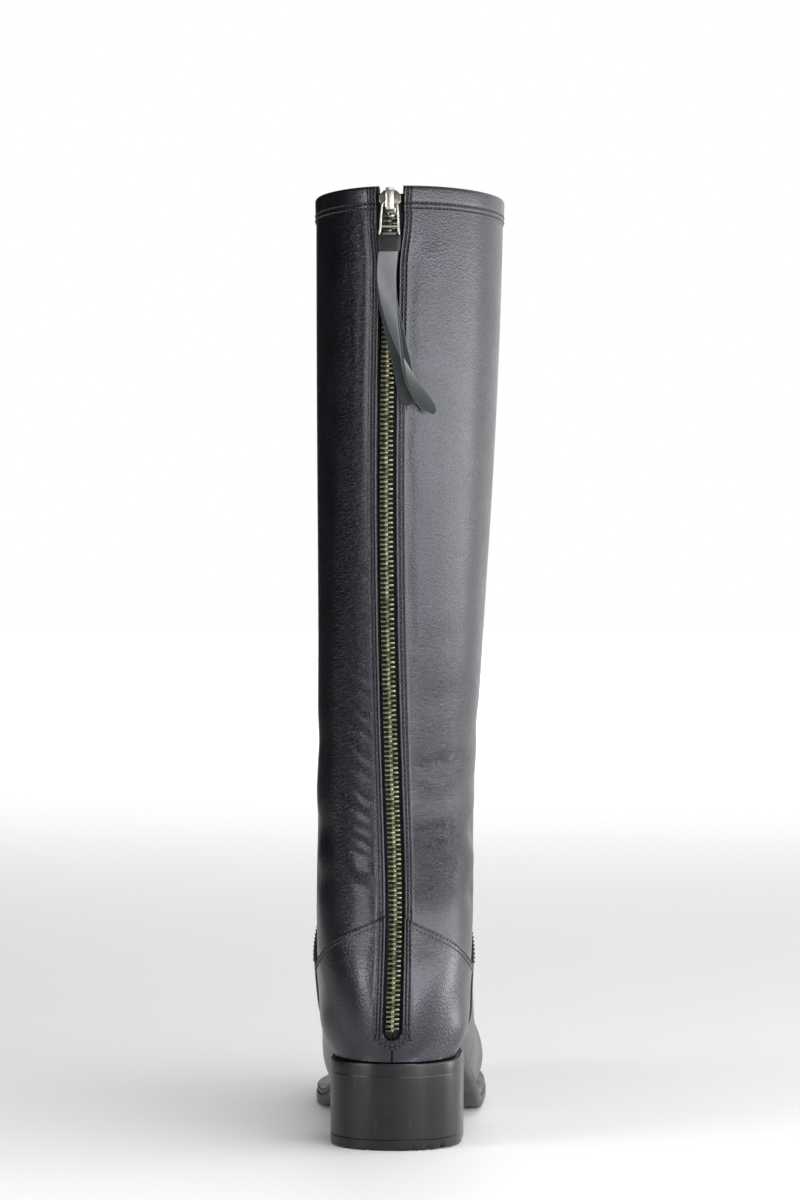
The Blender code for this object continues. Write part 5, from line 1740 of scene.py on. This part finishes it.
def strap_ring(row, end, flip):
    """Cross-section of a tail of the strap."""
    turn = math.radians(row.turn)
    width = strap_width(row.drop, end)
    ring = []
    for a, b in STRAP_EDGE:
        wide, thick = a * width / 2, (-b if flip else b) * STRAP_THICK / 2
        x = row.x + math.cos(turn) * wide - math.sin(turn) * thick
        out = row.out + math.sin(turn) * wide + math.cos(turn) * thick
        ring.append(hang(x, LOOP[-1].drop + row.drop, out))
    return ring


def tail_curve(rows, count=60):
    """Rows of a smooth tail through those of a table, and its length."""
    smooth = natural_spline([r.drop for r in rows], [(r.x, r.out, r.turn) for r in rows])
    end = rows[-1].drop
    return [TailRow(d, *smooth(d)) for d in end * np.linspace(0.0, 1.0, count)], end


def make_pull_strap():
    """One strip over the loop's lower bar: smooth outside, suede inside, a tail on each side."""
    outer, outer_end = tail_curve(OUTER_TAIL)
    inner, inner_end = tail_curve(INNER_TAIL)
    middle = (outer[0].out + inner[0].out) / 2
    reach = outer[0].out - middle
    rings = [strap_ring(row, outer_end, False) for row in reversed(outer)]
    for angle in range(15, 180, 15):
        turn = math.radians(angle)
        ring = []
        for a, b in STRAP_EDGE:
            from_bar = reach + b * STRAP_THICK / 2
            drop = LOOP[-1].drop - math.sin(turn) * from_bar
            ring.append(hang(a * STRAP_NECK / 2, drop, middle + math.cos(turn) * from_bar))
        rings.append(ring)
    rings += [strap_ring(row, inner_end, True) for row in inner]
    made = ringed_piece("pull_strap", rings, [STRAP_LEATHER, SUEDE], "pull", "pull_leather", 50.0)
    around = np.arange((len(rings) - 1) * len(STRAP_EDGE)) % len(STRAP_EDGE)
    second_material(made, np.flatnonzero(np.isin(around, STRAP_SMOOTH, invert=True)))


# Cross-section of the keeper's wall: share of its height and thickness there
KEEPER_PROFILE = (
    *((0.0, 0.0), (0.0, 0.4), (0.04, 0.58), (0.3, 0.62)),
    *((0.7, 0.62), (0.96, 0.58), (1.0, 0.4), (1.0, 0.0)),
)
KEEPER_CORNER = 1.0
KEEPER_SHRINK = 0.5  # it is so much narrower at its foot, on each side
KEEPER_FRONT_GAP = 0.35
KEEPER_BACK_WALL = 0.35  # thickness towards the boot, as a share


def make_pull_keeper():
    """Short leather sleeve round both tails."""
    top = LOOP[-1].drop - KEEPER_ABOVE_BAR
    half = LOOP[-1].half_width + WIRE_RADIUS + GAP
    near = INNER_TAIL[0].out - STRAP_THICK / 2 - GAP
    far = OUTER_TAIL[0].out + STRAP_THICK / 2 + KEEPER_FRONT_GAP
    rings = []
    for share, wall in KEEPER_PROFILE:
        ring = []
        corner_x = half - KEEPER_SHRINK * share - KEEPER_CORNER
        for quarter, (cx, cy) in enumerate(QUARTERS):
            depth = wall if cy > 0 else wall * KEEPER_BACK_WALL
            corner_out = far - KEEPER_CORNER if cy > 0 else near + KEEPER_CORNER
            for turn in np.linspace(0, math.pi / 2, 6):
                angle = turn + quarter * math.pi / 2
                x = cx * corner_x + (KEEPER_CORNER + wall) * math.cos(angle)
                out = corner_out + (KEEPER_CORNER + depth) * math.sin(angle)
                ring.append(hang(x, top + KEEPER_HEIGHT * share, out))
        rings.append(ring)
    ringed_piece("pull_keeper", rings, [KEEPER_LEATHER], "pull", "pull_leather", 50.0, looped=True)


# Sole


def heel_half(y):
    """Half the width of the heel block's top at y."""
    back = max(1 - (y - HEEL_BACK_Y) / HEEL_CURVE, 0.0) ** (1 / HEEL_ROUND)
    return HEEL_HALF_WIDTH * max(1 - back * back, 0.0) ** (HEEL_ROUND / 2)


# The outsole's edge, as insets and shares of its height down one side, and its columns from heel to toe
OUTSOLE_PROFILE = ((0.5, 1.0), (0.12, 0.96), (0.0, 0.86), (0.0, 0.4), (0.25, 0.24), (0.8, 0.08), (1.7, 0.0))
OUTSOLE_SHARES = np.concatenate(
    [np.linspace(0.03, 0.1, 12)[:-1], np.linspace(0.1, 0.9, 110)[:-1], np.linspace(0.9, 0.99, 16)]
)
NARROW = 24.0  # a narrower sole has smaller insets
HEEL_BLEND = 12.0  # length over which the sole becomes flush with the heel block


def outsole_ring(share):
    """Cross-section of the outsole, flush with the block over the heel."""
    y, medial, lateral = sole_edge(share)
    x = foot_x(y)
    high, low = outsole_top(y), sole_bottom(y)
    fit = min(1.0, (medial + lateral) / NARROW)
    over_heel = 1 - ease((y - BREAST_Y + HEEL_BLEND / 2) / HEEL_BLEND)
    flush = heel_half(y)
    medial += (flush + x - medial) * over_heel
    lateral += (flush - x - lateral) * over_heel
    insets = [(inset * fit * (1 - over_heel * (up < 0.5)), up) for inset, up in OUTSOLE_PROFILE]
    left = [(x - medial + inset, y, low + (high - low) * up) for inset, up in insets]
    right = [(x + lateral - inset, y, low + (high - low) * up) for inset, up in reversed(insets)]
    return [(x, y, high)] + left + [(x, y, low)] + right


def make_outsole():
    """The sole, black as the heel where it lies over it."""
    rings = np.array([outsole_ring(share) for share in OUTSOLE_SHARES])
    made = ringed_piece("outsole", rings, [SOLE_BLACK, HEEL_BLACK], "boot", "sole_edge", 30.0)
    over_heel = np.repeat(rings[:-1, 0, 1] < BREAST_Y, rings.shape[1])
    second_material(made, np.concatenate([over_heel, [True, False]]))


# The welt's rounded outer edge from top to bottom: insets and shares of its height
WELT_PROFILE = ((0.9, 1.0), (0.35, 0.93), (0.05, 0.75), (0.0, 0.5), (0.05, 0.22), (0.3, 0.05), (0.7, 0.0))
WELT_LEAST = 0.3  # least half width at the tip
WELT_END = 0.995  # share of the sole's outline


def welt_ring(share, side):
    """Cross-section of the welt on one side: rounded outer edge, then under the upper."""
    pick = 1 if side < 0 else 2
    outer, inner = sole_edge(share), last_edge(share)
    outer_y, inner_y = outer[0] - WELT_INSET * share, min(inner[0], WELT_TIP_Y)
    outer_x = foot_x(outer[0]) + side * max(outer[pick] - WELT_INSET, WELT_LEAST)
    inner_x = foot_x(inner[0]) + side * max(inner[pick] - WELT_UNDER, WELT_LEAST)
    base = outsole_top(outer_y) + GAP
    thick = welt_thick(outer_y)
    way = np.array([inner_x - outer_x, inner_y - outer_y])
    way /= max(np.linalg.norm(way), 1e-6)
    ring = []
    for inset, up in WELT_PROFILE:
        ring.append((outer_x + way[0] * inset, outer_y + way[1] * inset, base + thick * up))
    inner_base = outsole_top(inner_y) + GAP
    ring += [(inner_x, inner_y, inner_base), (inner_x, inner_y, inner_base + welt_thick(inner_y))]
    return ring


def make_welt():
    """The strip between upper and sole, from the outer side round the toe to the inner side."""
    shares = np.linspace(sole_share(WELT_START_Y), WELT_END, 110)
    rings = [welt_ring(share, 1) for share in shares] + [welt_ring(share, -1) for share in reversed(shares)]
    ringed_piece("welt", rings, [SOLE_BLACK], "boot", "sole_edge", 40.0)


def heel_outline(z, inset=0.0):
    """Footprint of the heel at height z: a broad round back, flat front, small front corners."""
    draw_in = 1 - z / SEAT_BOTTOM_Z
    back, front = HEEL_BACK_Y + HEEL_TAPER * draw_in + inset, BREAST_Y - BREAST_TAPER * draw_in - inset
    half = HEEL_HALF_WIDTH - inset
    points = []
    for angle in np.linspace(0, math.pi, 90):
        across = math.copysign(abs(math.cos(angle)) ** HEEL_ROUND, -math.cos(angle))
        points.append((half * across, back + HEEL_CURVE * (1 - math.sin(angle) ** HEEL_ROUND), z))
    for side, turns in ((1, np.linspace(0, math.pi / 2, 8)), (-1, np.linspace(math.pi / 2, 0, 8))):
        for turn in turns:
            x = side * (half - HEEL_CORNER * (1 - math.cos(turn)))
            points.append((x, front - HEEL_CORNER * (1 - math.sin(turn)), z))
    return points


# Small nicks along the lift's lower back edge: where they are across the heel, how wide and how deep
Nick = namedtuple("Nick", "x wide deep")
NICKS = (
    Nick(9.5, 0.8, 0.7),
    Nick(12.5, 0.7, 0.5),
    Nick(17.0, 0.9, 0.8),
    Nick(22.5, 0.8, 1.2),
    Nick(-11.0, 0.8, 0.4),
)
# Its rubbed-down corner: where it is, how far it spreads and how much is gone
WORN_X, WORN_WIDE = 26.0, 9.0
WORN_Y, WORN_LONG = 8.0, 12.0
WORN_DEEP = 0.7


def worn_corner(points):
    """Lifts the lift's outer back corner a little, where wear has rubbed it down, and cuts its nicks."""
    points = np.array(points)
    wear = bell((points[:, 0] - WORN_X) / WORN_WIDE) * bell((points[:, 1] - WORN_Y) / WORN_LONG)
    low = 1 - points[:, 2] / LIFT_THICK
    points[:, 2] += WORN_DEEP * wear * low
    back = points[:, 1] < HEEL_CURVE
    for nick in NICKS:
        cut_in = nick.deep * bell((points[:, 0] - nick.x) / nick.wide) * back * low**3
        points[:, 1] += cut_in
        points[:, 2] += cut_in
    return points


HEEL_SEAM = 0.06  # fine line between the heel and the sole
HEEL_TOP_Z = SEAT_BOTTOM_Z - HEEL_SEAM
# Outlines of the block and its top piece, from the bottom up
HeelRing = namedtuple("HeelRing", "z inset")
BLOCK_RINGS = (
    HeelRing(LIFT_THICK + 0.08, 0.16),
    HeelRing(LIFT_THICK + 0.25, 0.0),
    HeelRing(LIFT_THICK + 0.5, 0.0),
    HeelRing(12.0, 0.0),
    HeelRing(20.0, 0.0),
    HeelRing(28.0, 0.0),
    HeelRing(HEEL_TOP_Z - 0.5, 0.0),
    HeelRing(HEEL_TOP_Z - 0.12, 0.02),
    HeelRing(HEEL_TOP_Z, 0.08),
)
LIFT_RINGS = (
    HeelRing(0.0, 0.9),
    HeelRing(0.25, 0.35),
    HeelRing(0.8, 0.0),
    HeelRing(1.1, 0.0),
    HeelRing(2.5, 0.0),
    HeelRing(LIFT_THICK - 0.5, 0.0),
    HeelRing(LIFT_THICK - 0.2, 0.0),
    HeelRing(LIFT_THICK, 0.16),
)


def make_heel():
    """The block and its top piece, with eased edges and a fine line between. Its underside is rubber."""
    block = [heel_outline(*ring) for ring in BLOCK_RINGS]
    ringed_piece("heel_block", block, [HEEL_BLACK], "boot", "heel", 40.0)
    lift = [worn_corner(heel_outline(*ring)) for ring in LIFT_RINGS]
    made = ringed_piece("top_lift", lift, [HEEL_BLACK, RUBBER], "boot", "top_lift", 40.0)
    second_material(made, -2)


def finish_kept_nodes():
    """The insole and the zip's tapes keep their solids, with a finished material."""
    for node, made in (("insole", INSOLE), ("zip_tape_inner", TAPE), ("zip_tape_outer", TAPE)):
        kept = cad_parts[node]
        kept.data.materials.clear()
        kept.data.materials.append(made)


# Studio


def make_floor():
    """Pale floor that runs into the white far behind the boot, and is dark for reflections on one side."""
    mesh = bpy.data.meshes.new("floor")
    corners = [(x * FLOOR_HALF, y * FLOOR_HALF, 0.0) for x, y in ((-1, -1), (1, -1), (1, 1), (-1, 1))]
    mesh.from_pydata(corners, [], [(0, 1, 2, 3)])
    floor = bpy.data.objects.new("floor", mesh)
    bpy.context.scene.collection.objects.link(floor)
    made = principled("floor", FLOOR_PALE, 0.6, Emission_Color=(1.0, 1.0, 1.0, 1.0))
    nodes, links = nodes_of(made)
    split = nodes.new("ShaderNodeSeparateXYZ")
    links.new(coordinates(made), split.inputs["Vector"])
    aslant = math_node(made, "MULTIPLY", split.outputs["Y"], FLOOR_SLANT)
    across = math_node(made, "ADD", split.outputs["X"], aslant)
    looked_at = nodes.new("ShaderNodeLightPath").outputs["Is Camera Ray"]
    pale = math_node(made, "MAXIMUM", remap(made, across, *FLOOR_SHADE, 0.0, 1.0), looked_at)
    tint(made, pale, FLOOR_DARK, FLOOR_PALE)
    near, far = (remap(made, split.outputs["Y"], g.start, g.end, 0.0, g.strength) for g in FLOOR_GLOWS)
    both = math_node(made, "ADD", near, far)
    glow_side = math_node(made, "MAXIMUM", remap(made, across, *FLOOR_GLOW_SIDE, 0.0, 1.0), looked_at)
    glow = math_node(made, "MULTIPLY", both, glow_side)
    links.new(glow, nodes["Principled BSDF"].inputs["Emission Strength"])
    mesh.materials.append(made)


def area_light(lamp):
    light = bpy.data.lights.new(lamp.name, "AREA")
    light.shape = "RECTANGLE"
    light.size, light.size_y = lamp.wide, lamp.high
    light.energy = lamp.power
    made = bpy.data.objects.new(lamp.name, light)
    bpy.context.scene.collection.objects.link(made)
    turn = math.radians(lamp.azimuth)
    spot = np.array([math.sin(turn) * lamp.away, math.cos(turn) * lamp.away, lamp.z])
    aim(made, spot, np.array([0.0, LAMP_AIM_Y, lamp.aim_z]))
    made.visible_camera = False


def aim(thing, place_at, look_at):
    """Puts a light or camera in place, looking along its own -Z with +Y up."""
    back = (place_at - look_at) / np.linalg.norm(place_at - look_at)
    right = np.cross((0.0, 0.0, 1.0), back)
    right /= np.linalg.norm(right)
    up = np.cross(back, right)
    axes = np.eye(4)
    axes[:3] = np.stack([right, up, back, place_at], axis=1)
    thing.matrix_world = Matrix(axes.tolist())


def make_world():
    """Walls of the studio by compass direction, for light and reflections, and a white backdrop."""
    world = bpy.data.worlds.new("studio")
    world.use_nodes = True
    nodes, links = world.node_tree.nodes, world.node_tree.links
    way = nodes.new("ShaderNodeTexCoord")
    split = nodes.new("ShaderNodeSeparateXYZ")
    links.new(way.outputs["Generated"], split.inputs["Vector"])
    compass = nodes.new("ShaderNodeMath")
    compass.operation = "ARCTAN2"
    links.new(split.outputs["X"], compass.inputs[0])
    links.new(split.outputs["Y"], compass.inputs[1])
    round_share = nodes.new("ShaderNodeMapRange")
    round_share.inputs["From Min"].default_value = -math.pi
    round_share.inputs["From Max"].default_value = math.pi
    links.new(compass.outputs[0], round_share.inputs["Value"])
    ramp = nodes.new("ShaderNodeValToRGB")
    stops = ramp.color_ramp.elements
    for i, wall in enumerate(WALLS):
        stop = stops[i] if i < 2 else stops.new(0.5)
        stop.position = wall.azimuth / 360 + 0.5
        stop.color = (wall.bright, wall.bright, wall.bright, 1.0)
    links.new(round_share.outputs["Result"], ramp.inputs["Fac"])
    shader = nodes["Background"]
    links.new(ramp.outputs["Color"], shader.inputs["Color"])
    shader.inputs["Strength"].default_value = WALL_STRENGTH
    backdrop = nodes.new("ShaderNodeBackground")
    backdrop.inputs["Color"].default_value = BACKDROP
    mix = nodes.new("ShaderNodeMixShader")
    links.new(nodes.new("ShaderNodeLightPath").outputs["Is Camera Ray"], mix.inputs["Fac"])
    for k, source in ((1, shader), (2, backdrop)):
        links.new(source.outputs["Background"], mix.inputs[k])
    links.new(mix.outputs["Shader"], nodes["World Output"].inputs["Surface"])
    bpy.context.scene.world = world


def make_studio():
    make_floor()
    make_world()
    bpy.context.scene.view_settings.view_transform = "Standard"
    for lamp in LAMPS:
        area_light(lamp)


def make_camera():
    data = bpy.data.cameras.new("camera")
    data.sensor_fit = "VERTICAL"
    data.angle = math.radians(CAMERA_FOV)
    camera = bpy.data.objects.new("camera", data)
    bpy.context.scene.collection.objects.link(camera)
    turn = math.radians(CAMERA_AZIMUTH)
    middle = np.array([CAMERA_AIM_X, 0.0, CAMERA_Z]) * MM
    place_at = middle + np.array([math.sin(turn), -math.cos(turn), 0.0]) * CAMERA_DISTANCE * MM
    aim(camera, place_at, middle)
    bpy.context.scene.camera = camera


make_camera()
make_studio()
make_upper()
make_counter()
make_vamp()
make_collar_band()
make_stitches("zip_stitches", zip_stitch_paths())
make_stitches("collar_stitches", collar_stitch_paths())
make_stitches("counter_stitches", counter_stitch_paths())
make_stitches("vamp_stitches", vamp_stitch_paths())
make_teeth()
make_slider()
make_pull_loop()
make_pull_strap()
make_pull_keeper()
make_outsole()
make_welt()
make_heel()
finish_kept_nodes()

bpy.context.view_layer.update()
